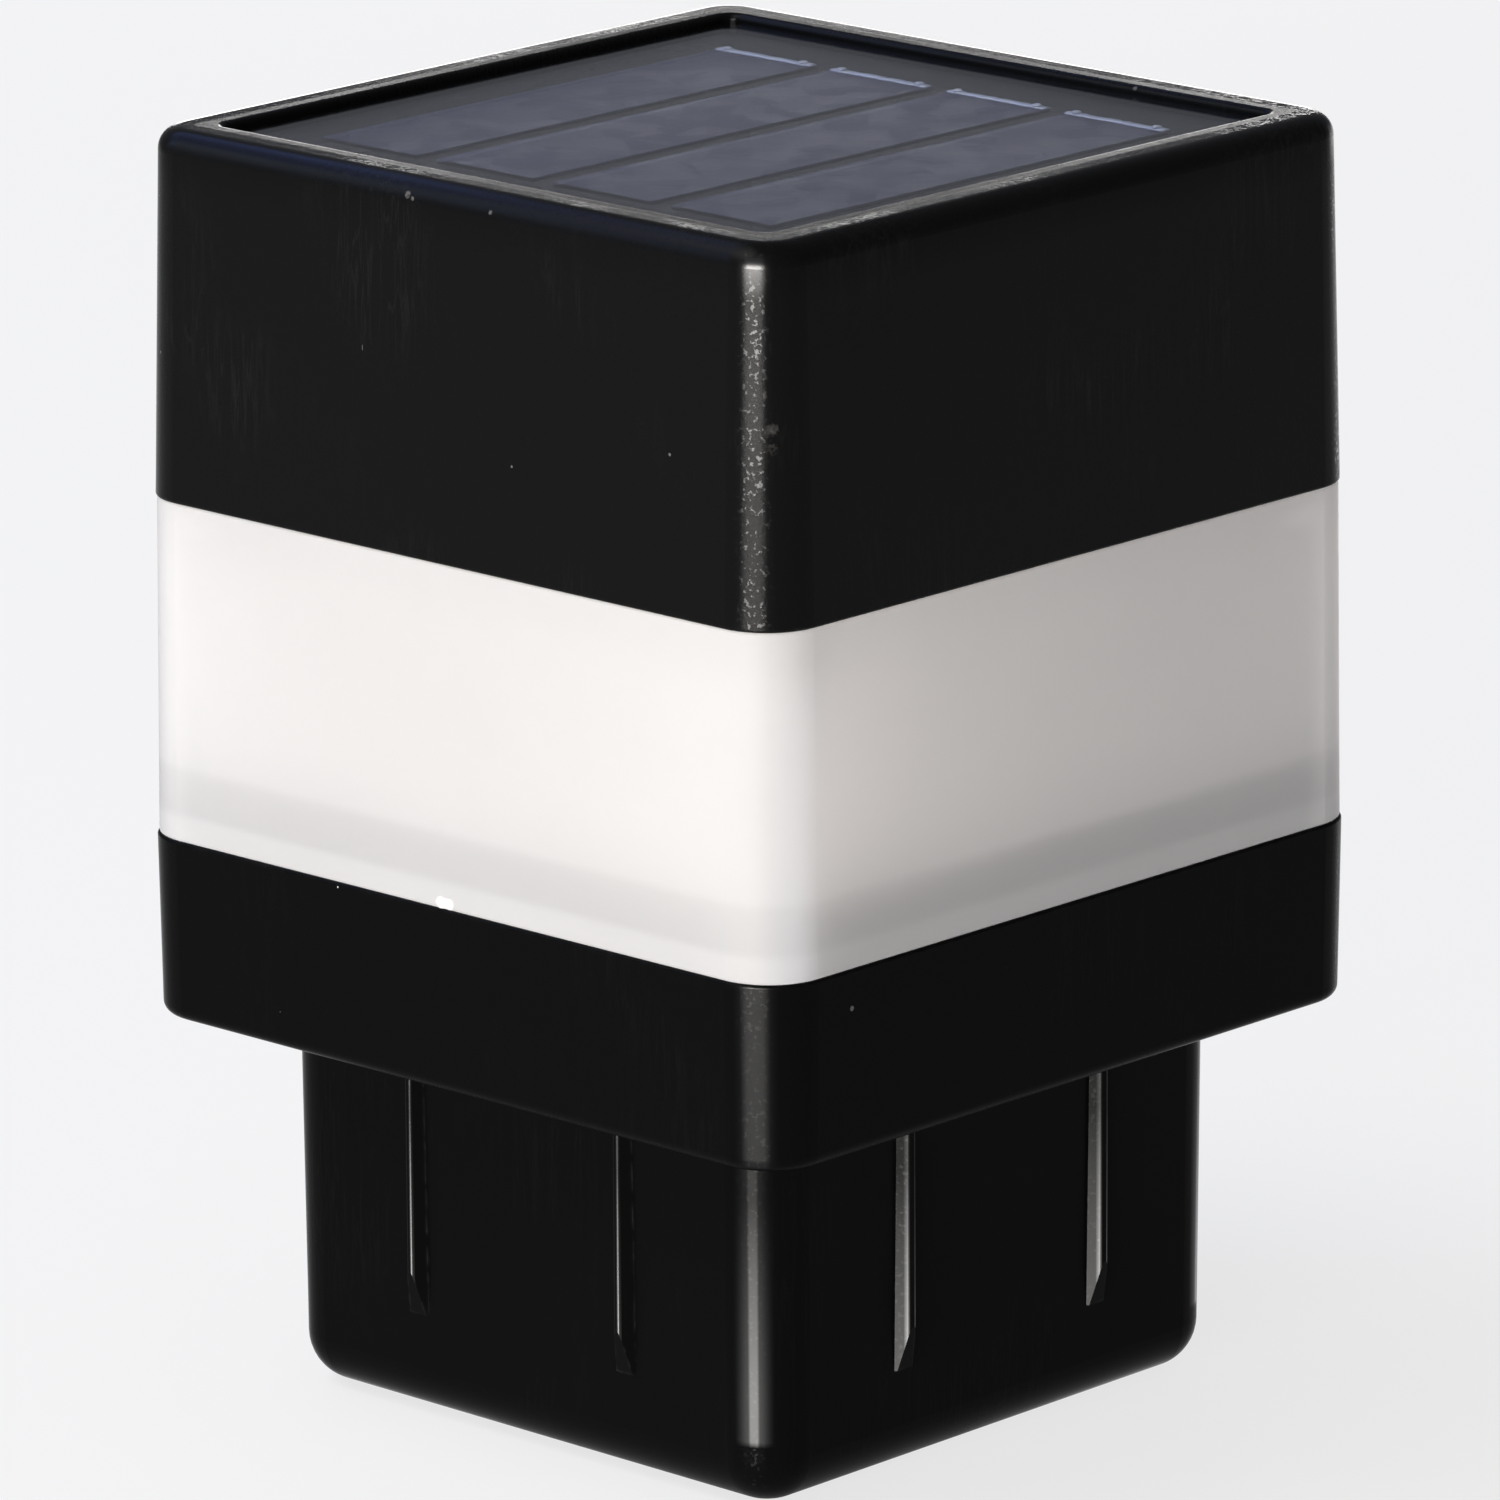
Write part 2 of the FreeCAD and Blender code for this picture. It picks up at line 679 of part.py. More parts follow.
def make_base_housing():
    """Black collar and plug in one moulding, with everything that is moulded inside it."""
    collar = square_body(corner_axis, [
        (collar_low_half, ledge_z, collar_bottom_round),
        (collar_top_half, collar_top_z, edge_break)])
    upstand = square_body(window_axis, [
        (upstand_half, collar_top_z, 0),
        (upstand_half, upstand_top_z, edge_break)])
    bottom_round = min(plug_bottom_round, round_limit * (plug_low_half - plug_axis))
    plug = square_body(plug_axis, [
        (plug_low_half, 0, bottom_round),
        (plug_half, ledge_z, 0)])
    collar_room = square_body(collar_inner_half - inner_corner, [
        (collar_inner_half, ledge_top_z, 0),
        (collar_inner_half, upstand_top_z + 1, 0)])
    inner_round = max(bottom_round - plug_wall, inner_corner)
    plug_room = square_body(plug_axis, [
        (plug_inner_low_half, floor_thickness, inner_round),
        (plug_inner_half, ledge_z, 0),
        (plug_inner_half, ledge_top_z, 0)])
    bead_low = collar_top_z + foot_bead_rise - groove_gap
    bead_high = bead_low + foot_bead_height + 2 * groove_gap
    bead_half = upstand_half + upstand_gap - foot_bead_proud - groove_gap
    bead_groove = square_ring(window_axis, [
        (bead_half, bead_low, 0), (upstand_half + 1, bead_low, 0),
        (upstand_half + 1, bead_high, 0), (bead_half, bead_high, 0)])
    groove_low = collar_top_z + base_seal_rise
    seal_groove = seal_ring(window_axis, upstand_half - seal_groove_depth, upstand_half + 1, groove_low)
    shell = joined([collar, upstand, plug])
    shell = cut_all(shell, [collar_room, plug_room, bead_groove, seal_groove])

    wall = compartment_wall
    compartment = box(-compartment_half - wall, compartment_half + wall,
                      compartment_y0 - wall, compartment_y1 + wall, floor_thickness / 2, roof_top_z)
    door_boss = disc(0, ear_y, floor_thickness / 2, floor_thickness + door_boss_height, door_boss_radius)
    bosses = four(disc(tray_boss_xy, tray_boss_xy, ledge_top_z, tray_low_z, tray_boss_radius))
    shell = joined([shell, compartment, door_boss] + bosses + crush_ribs())

    knob_slot_half = knob_length / 2 + switch_travel / 2 + slide_gap
    knob_slot_width = knob_width / 2 + slide_gap
    pocket = rounded_box(-pocket_length / 2, pocket_length / 2,
                         switch_y - pocket_width / 2, switch_y + pocket_width / 2,
                         -1, pocket_depth, pocket_width / 4)
    tools = [
        box(-compartment_half, compartment_half, compartment_y0, compartment_y1, -1, roof_low_z),
        door_plan(-1, seal_top_z, door_gap),
        disc(0, ear_y, 0, floor_thickness + door_boss_height - wall / 2, small_screw_radius + screw_gap),
        tag_slot(compartment_half - contact_thickness - slide_gap, compartment_half),
        tag_slot(-compartment_half, -compartment_half + contact_thickness + slide_gap),
        pocket,
        box(-knob_slot_half, knob_slot_half, switch_y - knob_slot_width, switch_y + knob_slot_width,
            0, floor_thickness + 1)]
    tools += hook_blocks(hook_length + door_gap, door_gap)
    hole_low = bracket_top_z - switch_screw_length - tip_gap
    for x in (-switch_screw_x, switch_screw_x):
        tools.append(disc(x, switch_y, hole_low, floor_thickness + 1, small_screw_radius + screw_gap))
    tools += four(disc(tray_boss_xy, tray_boss_xy, tray_low_z - boss_hole_depth, tray_low_z + 1,
                       large_screw_radius + screw_gap))
    return cut_all(shell, tools)


# ---------------------------------------------------------------- battery door
def make_battery_door():
    """Flush door in the plug's bottom: plate, screw ear, hooks and battery saddles."""
    plate = door_plan(door_setback, door_inner_z, 0)
    beside_seal = box(-ear_radius, ear_radius, ear_y - ear_radius, door_y0, door_setback, seal_top_z)
    ear = disc(0, ear_y, door_setback, seal_top_z, ear_radius).common(beside_seal)
    hooks = hook_blocks(hook_length, 0)
    saddles = []
    saddle_half = battery_half_room - cell_gap
    for x in (-saddle_offset, saddle_offset):
        block = box(x - saddle_thickness / 2, x + saddle_thickness / 2,
                    battery_y - saddle_half, battery_y + saddle_half,
                    door_inner_z, door_inner_z + saddle_height)
        cradle = rod(x - saddle_thickness, x + saddle_thickness, battery_y, battery_z, battery_half_room)
        saddles.append(block.cut(cradle))
    door = joined([plate, ear] + hooks + saddles)
    head_z = door_setback + edge_break
    sink = Part.makeCone(small_head_radius + screw_gap, small_screw_radius + hole_gap,
                         small_head_height, Vector(0, ear_y, head_z))
    mouth = disc(0, ear_y, door_setback - 1, head_z, small_head_radius + screw_gap)
    bore = disc(0, ear_y, door_setback, seal_top_z + 1, small_screw_radius + hole_gap)
    return cut_all(door, [sink, mouth, bore])


def make_door_seal():
    """Flat rubber frame between the door and the floor."""
    margin = door_seal_margin
    outer = rounded_box(-door_half + margin, door_half - margin, door_y0 + margin, door_y1 - margin,
                        door_inner_z, seal_top_z, door_corner_radius)
    hole = rounded_box(-compartment_half - margin, compartment_half + margin,
                       compartment_y0 - margin, compartment_y1 + margin,
                       door_inner_z - 1, seal_top_z + 1, door_corner_radius / 2)
    return outer.cut(hole)


def make_door_screw():
    """Countersunk screw through the door's ear."""
    head_z = door_setback + edge_break
    head = Part.makeCone(small_head_radius, small_screw_radius, small_head_height, Vector(0, ear_y, head_z))
    stem_z = head_z + small_head_height
    stem = disc(0, ear_y, stem_z, head_z + door_screw_length, small_screw_radius)
    screw = joined([head, stem])
    depth = small_head_height * cross_slot_share
    return cut_all(screw, cross_slots(0, ear_y, head_z - 1, head_z + depth, small_head_radius))


# ---------------------------------------------------------------- battery
def make_battery_cell():
    """Steel can with its button towards +X."""
    can_radius = battery_radius - sleeve_thickness - wrap_gap
    shoulder_x = button_end_x - button_height
    can = rod(flat_end_x, shoulder_x, battery_y, battery_z, can_radius)
    rims = [edge for edge in can.Edges if edge.Curve.TypeId == "Part::GeomCircle"]
    can = can.makeFillet(sleeve_thickness, rims)
    button = rod(shoulder_x, button_end_x, battery_y, battery_z, button_radius)
    return joined([can, button])


def make_battery_sleeve():
    """Shrunk plastic sleeve round the can."""
    start = flat_end_x + sleeve_thickness
    end = button_end_x - button_height - sleeve_thickness
    outer = rod(start, end, battery_y, battery_z, battery_radius)
    inner = rod(start - 1, end + 1, battery_y, battery_z, battery_radius - sleeve_thickness)
    return outer.cut(inner)


def make_positive_contact():
    """Flat plate behind the battery's button, with its solder tag through the roof."""
    low = battery_z - contact_width / 2
    plate = box(button_end_x, compartment_half, battery_y - contact_width / 2,
                battery_y + contact_width / 2, low, low + contact_width)
    tag = box(button_end_x, compartment_half, battery_y - tag_width / 2,
              battery_y + tag_width / 2, battery_z, tag_top_z)
    return joined([plate, tag])


def make_negative_contact():
    """Back plate with a bent leaf that presses the battery's flat end."""
    middle_x = contact_thickness / 2 - compartment_half
    low = battery_z - contact_width / 2
    back = box(-compartment_half, contact_thickness - compartment_half,
               battery_y - contact_width / 2, battery_y + contact_width / 2, low, battery_z)
    tag = box(-compartment_half, contact_thickness - compartment_half,
              battery_y - tag_width / 2, battery_y + tag_width / 2, low, tag_top_z)
    apex_x = flat_end_x - contact_thickness * 0.75
    leaf = strip([(middle_x, low + contact_width / 4), (middle_x, low + contact_thickness / 2),
                  (apex_x, battery_z), (apex_x - contact_width / 4, battery_z + contact_width / 4)],
                 contact_thickness, tag_width)
    leaf.translate(Vector(0, battery_y, 0))
    return joined([back, tag, leaf])


# ---------------------------------------------------------------- reflector tray and lamp board
def make_reflector_tray():
    """White plate over the base, with a dish round each lamp and bosses for the board."""
    plate = rounded_box(-tray_half, tray_half, -tray_half, tray_half, tray_low_z, tray_top_z, inner_corner)
    bosses = [disc(x, 0, board_top_z, tray_low_z, board_boss_radius) for x in (-board_screw_x, board_screw_x)]
    tray = joined([plate] + bosses)
    below = tray_low_z - 1
    above = tray_top_z + 1
    tools = four(disc(tray_boss_xy, tray_boss_xy, below, above, large_screw_radius + hole_gap))
    for y in (-lamp_offset, lamp_offset):
        tools.append(disc(0, y, below, above, lamp_radius + hole_gap))
        tools.append(Part.makeCone(lamp_flange_radius, reflector_mouth_radius, tray_thickness,
                                   Vector(0, y, tray_low_z)))
    tools += [disc(x, y, below, above, lead_radius + hole_gap)
              for x, y in lead_places(board_pad_x, board_pad_y)]
    hole_top = board_top_z + board_screw_length - board_thickness + tip_gap
    tools += [disc(x, 0, board_top_z - 1, hole_top, small_screw_radius + screw_gap)
              for x in (-board_screw_x, board_screw_x)]
    return cut_all(tray, tools)


def make_tray_screws():
    """One screw in each corner, down into the base's bosses."""
    screw = pan_screw(tray_boss_xy, tray_boss_xy, tray_top_z, large_screw_length, large_screw_radius,
                      large_head_radius, large_head_height, 1)
    return four(screw)


def make_led_board():
    """Circuit board screwed under the tray."""
    board = rounded_box(-board_length / 2, board_length / 2, -board_width / 2, board_width / 2,
                        board_low_z, board_top_z, inner_corner * 2)
    holes = [disc(x, 0, board_low_z - 1, board_top_z + 1, small_screw_radius + hole_gap)
             for x in (-board_screw_x, board_screw_x)]
    return cut_all(board, holes)


def make_leds():
    """Two round lamps that look up through the tray."""
    lamps = []
    for y in (-lamp_offset, lamp_offset):
        flange = disc(0, y, board_top_z, board_top_z + lamp_flange_height, lamp_flange_radius)
        barrel_top = board_top_z + lamp_barrel_height
        barrel = disc(0, y, board_top_z, barrel_top, lamp_radius)
        dome = Part.makeSphere(lamp_radius, Vector(0, y, barrel_top), UP, 0, 90, 360)
        lamps.append(joined([flange, barrel, dome]))
    return lamps


def make_board_screws():
    """Two screws up through the board into the tray's bosses."""
    return [pan_screw(x, 0, board_low_z, board_screw_length, small_screw_radius,
                      small_head_radius, small_head_height, -1) for x in (-board_screw_x, board_screw_x)]


def make_control_chip():
    """Charge controller under the board, with short legs on two sides."""
    leg = chip_width / chip_leg_count / 3
    seat = leg / 2
    body = box(chip_x - chip_length / 2, chip_x + chip_length / 2, chip_y - chip_width / 2,
               chip_y + chip_width / 2, board_low_z - seat - chip_height, board_low_z - seat)
    parts = [body]
    pitch = chip_length / chip_leg_count
    for number in range(chip_leg_count):
        x = chip_x - chip_length / 2 + pitch * (number + 0.5)
        for side in (-1, 1):
            near = chip_y + side * chip_width / 2
            far = near + side * leg * 3
            parts.append(box(x - leg / 2, x + leg / 2, min(near, far), max(near, far),
                             board_low_z - seat * 2, board_low_z))
    return joined(parts)


def make_inductor():
    """Bead shaped coil under the board, on its two wires."""
    z = board_low_z - inductor_drop
    half = inductor_length / 2
    neck = inductor_radius * 0.8
    section = outline([
        (-half, 0, 0), (-half, inductor_radius, neck / 2), (-half / 2, inductor_radius, 0),
        (-half / 3, neck, 0), (half / 3, neck, 0), (half / 2, inductor_radius, 0),
        (half, inductor_radius, neck / 2), (half, 0, 0)])
    bead = Part.Face(section).revolve(CENTRE, Vector(1, 0, 0), 360)
    bead.translate(Vector(inductor_x, inductor_y, z))
    wire = inductor_wire_radius
    parts = [bead]
    for side in (-1, 1):
        near = inductor_x + side * (half - wire)
        far = inductor_x + side * (half + 3 * wire)
        parts.append(rod(min(near, far), max(near, far), inductor_y, z, wire))
        parts.append(disc(far, inductor_y, z, board_low_z, wire))
        parts.append(Part.makeSphere(wire, Vector(far, inductor_y, z)))
    return joined(parts)


def make_capacitor():
    """Round can that hangs from the board."""
    low = board_low_z - capacitor_height
    can = disc(capacitor_x, capacitor_y, low, board_low_z, capacitor_radius)
    rim = [edge for edge in can.Edges if edge.BoundBox.ZMax < low + MOULD_TINY]
    return can.makeFillet(capacitor_radius / 5, rim)


# ---------------------------------------------------------------- switch
def make_switch_case():
    """Steel case on a bracket, screwed to the plug's floor over the knob's slot."""
    bracket = rounded_box(-bracket_half, bracket_half, switch_y - bracket_width / 2,
                          switch_y + bracket_width / 2, floor_thickness, bracket_top_z, inner_corner)
    case = rounded_box(-case_length / 2, case_length / 2, switch_y - case_width / 2,
                       switch_y + case_width / 2, bracket_top_z, case_top_z, case_wall)
    knob_slot_half = knob_length / 2 + switch_travel / 2 + slide_gap
    knob_slot_width = knob_width / 2 + slide_gap
    tools = [
        box(-case_length / 2 + case_wall, case_length / 2 - case_wall, switch_y - case_width / 2 + case_wall,
            switch_y + case_width / 2 - case_wall, bracket_top_z, case_top_z + 1),
        box(-knob_slot_half, knob_slot_half, switch_y - knob_slot_width, switch_y + knob_slot_width,
            floor_thickness - 1, bracket_top_z + 1)]
    tools += [disc(x, switch_y, floor_thickness - 1, bracket_top_z + 1, small_screw_radius + screw_gap)
              for x in (-switch_screw_x, switch_screw_x)]
    return cut_all(joined([bracket, case]), tools)


def switch_pins():
    """Three flat pins in a row."""
    pins = []
    for number in (-1, 0, 1):
        x = number * pin_pitch
        pins.append(box(x - pin_width / 2, x + pin_width / 2, switch_y - pin_thickness / 2,
                        switch_y + pin_thickness / 2, terminal_low_z - pin_inside, pin_top_z))
    return pins


def make_terminal_plate():
    """Insulating plate that closes the switch and holds its pins."""
    half_x = case_length / 2 - case_wall
    half_y = case_width / 2 - case_wall
    plate = box(-half_x, half_x, switch_y - half_y, switch_y + half_y, terminal_low_z, case_top_z)
    return cut_all(plate, switch_pins())


def make_switch_slider():
    """Carrier inside the case with the knob that a fingertip pushes. It stands at OFF."""
    x = -switch_travel / 2
    carrier_half = case_length / 2 - case_wall - switch_travel / 2 - slide_gap
    carrier_width = case_width / 2 - case_wall - slide_gap
    carrier_low = bracket_top_z + slide_gap
    carrier = box(x - carrier_half, x + carrier_half, switch_y - carrier_width, switch_y + carrier_width,
                  carrier_low, carrier_low + carrier_thickness)
    knob = box(x - knob_length / 2, x + knob_length / 2, switch_y - knob_width / 2,
               switch_y + knob_width / 2, knob_setback, carrier_low)
    grooves = []
    for number in (-1, 0, 1):
        middle = x + number * knob_length / 4
        grooves.append(box(middle - knob_groove / 2, middle + knob_groove / 2, switch_y - knob_width,
                           switch_y + knob_width, knob_setback - 1, knob_setback + knob_groove))
    return cut_all(joined([carrier, knob]), grooves)


def make_switch_screws():
    """Two screws through the bracket into the floor."""
    return [pan_screw(x, switch_y, bracket_top_z, switch_screw_length, small_screw_radius,
                      small_head_radius, small_head_height, 1) for x in (-switch_screw_x, switch_screw_x)]


# ---------------------------------------------------------------- leads
def slack_lead(name, start, end, sways):
    """Lead that leaves both its ends upright and bends aside between them.

    sways is how far each bend stands aside, in X and in Y.
    """
    bends = [(0, 0)] + sways + [(0, 0)]
    points = [start]
    for number, (sway_x, sway_y) in enumerate(bends, 1):
        drop = number / (len(bends) + 1)
        aside = (number - 1) / (len(bends) - 1)
        points.append((start[0] + (end[0] - start[0]) * aside + sway_x,
                       start[1] + (end[1] - start[1]) * aside + sway_y,
                       start[2] + (end[2] - start[2]) * drop))
    points.append(end)
    return lead(name, points)


def make_panel_leads():
    """Two leads from the solar panel, through the shelf and the tray, to the lamp board."""
    names = ("panel_lead_red", "panel_lead_black")
    tops = lead_places(panel_pad_x, panel_pad_y)
    feet = lead_places(board_pad_x, board_pad_y)
    leads = {}
    for name, top, foot, side in zip(names, tops, feet, (-1, 1)):
        sway = side * panel_lead_sway
        leads[name] = slack_lead(name, (*top, panel_board_low_z), (*foot, board_top_z),
                                 [(sway, sway / 2), (-sway / 2, sway)])
    return leads


def make_battery_lead_black():
    """Lead from the leaf contact's tag up to the board."""
    x = contact_thickness / 2 - compartment_half
    return slack_lead("battery_lead_black", (x, battery_y, tag_top_z), (x, battery_y, board_low_z),
                      [(black_lead_sway, -black_lead_sway)])


def make_battery_lead_red():
    """Lead from the flat contact's tag over to the switch."""
    x = compartment_half - contact_thickness / 2
    aside = switch_lead_sway / 2
    return lead("battery_lead_red", [
        (x, battery_y, tag_top_z),
        (x, battery_y, tag_top_z + red_lead_start),
        ((x + pin_pitch) / 2 + red_lead_swing, (battery_y + switch_y) / 3, tag_top_z + red_lead_crest),
        (pin_pitch + aside, switch_y + aside, tag_top_z + aside),
        (pin_pitch, switch_y, pin_top_z + red_lead_end),
        (pin_pitch, switch_y, pin_top_z)])


def make_switch_lead_red():
    """Lead from the switch's middle pin up to the board."""
    return slack_lead("switch_lead_red", (0, switch_y, pin_top_z), (0, switch_y, board_low_z),
                      [(-switch_lead_sway, switch_lead_sway)])


# ---------------------------------------------------------------- nodes
def build():
    """Every sub-part by its name."""
    return {
        "cap_shell": make_cap_shell(),
        "cap_seal": make_cap_seal(),
        "panel_adhesive": make_panel_adhesive(),
        "panel_board": make_panel_board(),
        "solar_cells": make_solar_cells(),
        "cell_ribbons": make_cell_ribbons(),
        "panel_resin": make_panel_resin(),
        "diffuser_sleeve": make_diffuser_sleeve(),
        "base_seal": make_base_seal(),
        "base_housing": make_base_housing(),
        "reflector_tray": make_reflector_tray(),
        "tray_screws": make_tray_screws(),
        "led_board": make_led_board(),
        "leds": make_leds(),
        "board_screws": make_board_screws(),
        "control_chip": make_control_chip(),
        "inductor": make_inductor(),
        "capacitor": make_capacitor(),
        "battery_cell": make_battery_cell(),
        "battery_sleeve": make_battery_sleeve(),
        "positive_contact": make_positive_contact(),
        "negative_contact": make_negative_contact(),
        "battery_door": make_battery_door(),
        "door_seal": make_door_seal(),
        "door_screw": make_door_screw(),
        "switch_case": make_switch_case(),
        "terminal_plate": make_terminal_plate(),
        "switch_pins": switch_pins(),
        "switch_slider": make_switch_slider(),
        "switch_screws": make_switch_screws(),
        **make_panel_leads(),
        "battery_lead_black": make_battery_lead_black(),
        "battery_lead_red": make_battery_lead_red(),
        "switch_lead_red": make_switch_lead_red(),
    }


def main():
    os.makedirs("parts", exist_ok=True)
    for name, shape in build().items():
        if isinstance(shape, list):
            shape = Part.makeCompound(shape)
        solids = shape.Solids
        print(f"{name}: {len(solids)} solids, volume {shape.Volume:.1f}, valid {shape.isValid()}")
        shape = solids[0] if len(solids) == 1 else Part.makeCompound(solids)
        shape.exportStep(f"parts/{name}.step")


main()
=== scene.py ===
# %% [markdown]
# # Deck post cap light
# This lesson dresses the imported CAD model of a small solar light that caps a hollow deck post.
# The light is a stack of four things: a black cap with a solar panel in its top, a frosted white
# band, a black collar, and a plug that pushes into the post.
# The first step loads the model as a fixed frame. Nothing that the CAD says is moved or resized
# later: every step below only adds finish, small detail, light and a camera.

# %% Load the frame
import json
import math
import random

import bmesh
import bpy
from mathutils import Matrix, Vector


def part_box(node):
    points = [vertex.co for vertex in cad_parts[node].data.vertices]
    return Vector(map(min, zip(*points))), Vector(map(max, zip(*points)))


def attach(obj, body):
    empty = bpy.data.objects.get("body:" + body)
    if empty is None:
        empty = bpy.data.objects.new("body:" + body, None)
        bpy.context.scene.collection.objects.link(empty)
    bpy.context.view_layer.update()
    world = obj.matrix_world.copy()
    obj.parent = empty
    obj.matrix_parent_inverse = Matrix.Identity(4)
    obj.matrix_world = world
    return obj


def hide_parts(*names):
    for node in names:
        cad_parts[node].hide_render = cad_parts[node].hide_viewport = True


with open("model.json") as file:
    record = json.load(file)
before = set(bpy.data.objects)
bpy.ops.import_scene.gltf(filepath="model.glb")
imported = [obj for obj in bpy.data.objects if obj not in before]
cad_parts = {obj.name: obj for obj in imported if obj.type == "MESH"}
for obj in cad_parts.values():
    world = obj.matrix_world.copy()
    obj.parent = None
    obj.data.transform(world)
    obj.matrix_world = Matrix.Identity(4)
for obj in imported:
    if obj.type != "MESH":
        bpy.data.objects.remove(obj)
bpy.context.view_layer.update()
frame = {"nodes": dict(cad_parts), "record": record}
nodes = frame["nodes"]
MM = 0.001
print("pieces in the frame:", len(nodes))

# %% [markdown]
# # The camera
# The photograph was taken with a long lens, a little above the cap and almost straight at the
# upright corner. A long lens from far away keeps upright edges nearly parallel, so the focal
# length matters as much as the direction. The camera looks at a point half way up the light and
# is rolled by a third of a degree, as in the photograph.

# %% Camera
AZIMUTH = math.radians(43.10)
ELEVATION = math.radians(15.084)
ROLL = math.radians(-0.318)
DISTANCE = 0.8069
AIM = Vector((0, 0, 45 * MM))
SENSOR_MM = 36
PHOTO_WIDTH = 1500
FOCAL_PIXELS = 11678
VIEW_REACH = 20


def direction(azimuth, elevation):
    """Unit vector from the light outwards. Azimuth 0 is the -Y side, and it turns towards +X."""
    level = math.cos(elevation)
    return Vector((math.sin(azimuth) * level, -math.cos(azimuth) * level, math.sin(elevation)))


def facing(way):
    """Rotation that turns a camera's or a lamp's back along a direction, with its top up."""
    return way.to_track_quat("Z", "Y").to_matrix()


def stand(name, data, way, distance, roll=0.0):
    """Puts a camera or a lamp out along a direction, looking back at the light."""
    thing = bpy.data.objects.new(name, data)
    thing.location = AIM + way * distance
    thing.rotation_euler = (facing(way) @ Matrix.Rotation(roll, 3, "Z")).to_euler()
    bpy.context.scene.collection.objects.link(thing)
    print(name, "at", [round(place, 3) for place in thing.location])
    return thing


camera_data = bpy.data.cameras.new("photo_camera")
camera_data.sensor_width = SENSOR_MM
camera_data.lens = FOCAL_PIXELS / PHOTO_WIDTH * SENSOR_MM
camera_data.clip_end = VIEW_REACH
view_way = direction(AZIMUTH, ELEVATION)
bpy.context.scene.camera = stand("photo_camera", camera_data, view_way, DISTANCE, ROLL)
print("lens", round(camera_data.lens, 1), "mm")

# %% [markdown]
# # Lamps and room
# The key softbox stands low, a little to the right of the -Y side: it gives that side its
# brightness, and because it is low it also draws the bright line down the front corner. A large
# softbox stands high on the left and lights the floor and the panel. Two cool ones on the left
# only touch the cap's rounded rim, one for its upper half and one for its lower half, as the sky
# does in the photograph. A small plain one stands low behind and lines the far rim. Black plastic
# mirrors whatever is round it, so the room is a dim grey.

# %% Lamps and room
# Name, azimuth, elevation, distance, width, height, power and colour of each lamp.
LAMPS = [("key_softbox", 18, 1.5, 0.9, 0.60, 0.12, 10.8, (1.0, 0.97, 0.935)),
         ("top_softbox", -43, 60, 1.1, 0.7, 0.7, 6.2, (1.0, 0.98, 0.95)),
         ("cool_softbox", -92, 43, 0.9, 0.70, 0.16, 1.1, (0.26, 0.38, 1.0)),
         ("sky_softbox", -60, 33, 0.9, 0.44, 0.18, 0.95, (0.42, 0.62, 1.0)),
         ("rim_softbox", 223, 7, 0.9, 0.30, 0.10, 0.85, (1.0, 0.98, 0.96))]
ROOM_TONE = (0.20, 0.207, 0.225, 1)


def softbox(name, azimuth, elevation, distance, width, height, power, colour):
    """Flat lamp that faces the light. Angles are in degrees, lengths in metres, power in watts."""
    data = bpy.data.lights.new(name, "AREA")
    data.shape = "RECTANGLE"
    data.size = width
    data.size_y = height
    data.energy = power
    data.color = colour
    stand(name, data, direction(math.radians(azimuth), math.radians(elevation)), distance)


for lamp in LAMPS:
    softbox(*lamp)

room = bpy.data.worlds.new("room")
room.use_nodes = True
room.node_tree.nodes["Background"].inputs["Color"].default_value = ROOM_TONE
room.node_tree.nodes["Background"].inputs["Strength"].default_value = 1.0
bpy.context.scene.world = room
bpy.context.scene.view_settings.view_transform = "Standard"
print("lamps:", len(bpy.data.lights))

# %% [markdown]
# # Helpers for shader nodes
# A material is a small graph of nodes. One helper places a node and fills or links its inputs.
# The others wrap what every material needs: a sum, a mix of two shaders, and the start and the
# end of the graph. Later helpers stand where they are first needed.

# %% Node helpers
def fill(tree, socket, value):
    """Links a socket, or sets its value."""
    if isinstance(value, bpy.types.NodeSocket):
        tree.links.new(value, socket)
    else:
        socket.default_value = value


def put(tree, kind, options=None, **sockets):
    """Adds a shader node. options are its settings, sockets the values or links of its inputs."""
    node = tree.nodes.new("ShaderNode" + kind)
    for name, value in (options or {}).items():
        setattr(node, name, value)
    for name, value in sockets.items():
        fill(tree, node.inputs[name.replace("_", " ")], value)
    return node


def maths(tree, operation, first, second=0.0):
    """One sum."""
    node = put(tree, "Math", {"operation": operation})
    fill(tree, node.inputs[0], first)
    fill(tree, node.inputs[1], second)
    return node.outputs[0]


def mix_shader(tree, share, first, second):
    """The first shader, with a share of the second."""
    node = put(tree, "MixShader", Fac=share)
    tree.links.new(first.outputs[0], node.inputs[1])
    tree.links.new(second.outputs[0], node.inputs[2])
    return node


def start_material(name):
    """New material with an empty graph apart from its output."""
    material = bpy.data.materials.new(name)
    material.use_nodes = True
    tree = material.node_tree
    tree.nodes.clear()
    return material, tree, put(tree, "OutputMaterial")


def finish_surface(tree, output, shader):
    """Makes a shader the material's surface."""
    tree.links.new(shader.outputs[0], output.inputs["Surface"])


print("plain materials that came with the frame:", len(bpy.data.materials))

# %% [markdown]
# # Floor
# The light stands on plain pale paper that keeps its soft shadow. The photograph's object was cut
# out on white. More light would spoil the object, so the paper itself turns whiter, only for rays
# that come from the camera, from a mirror or through glass. Every other ray finds plain paper.

# %% Floor
FLOOR_HALF = 3.0
FLOOR_LOW = -0.05 * MM
FLOOR_WHITE = 0.74
PAPER_TONE = (0.82, 0.80, 0.78, 1)


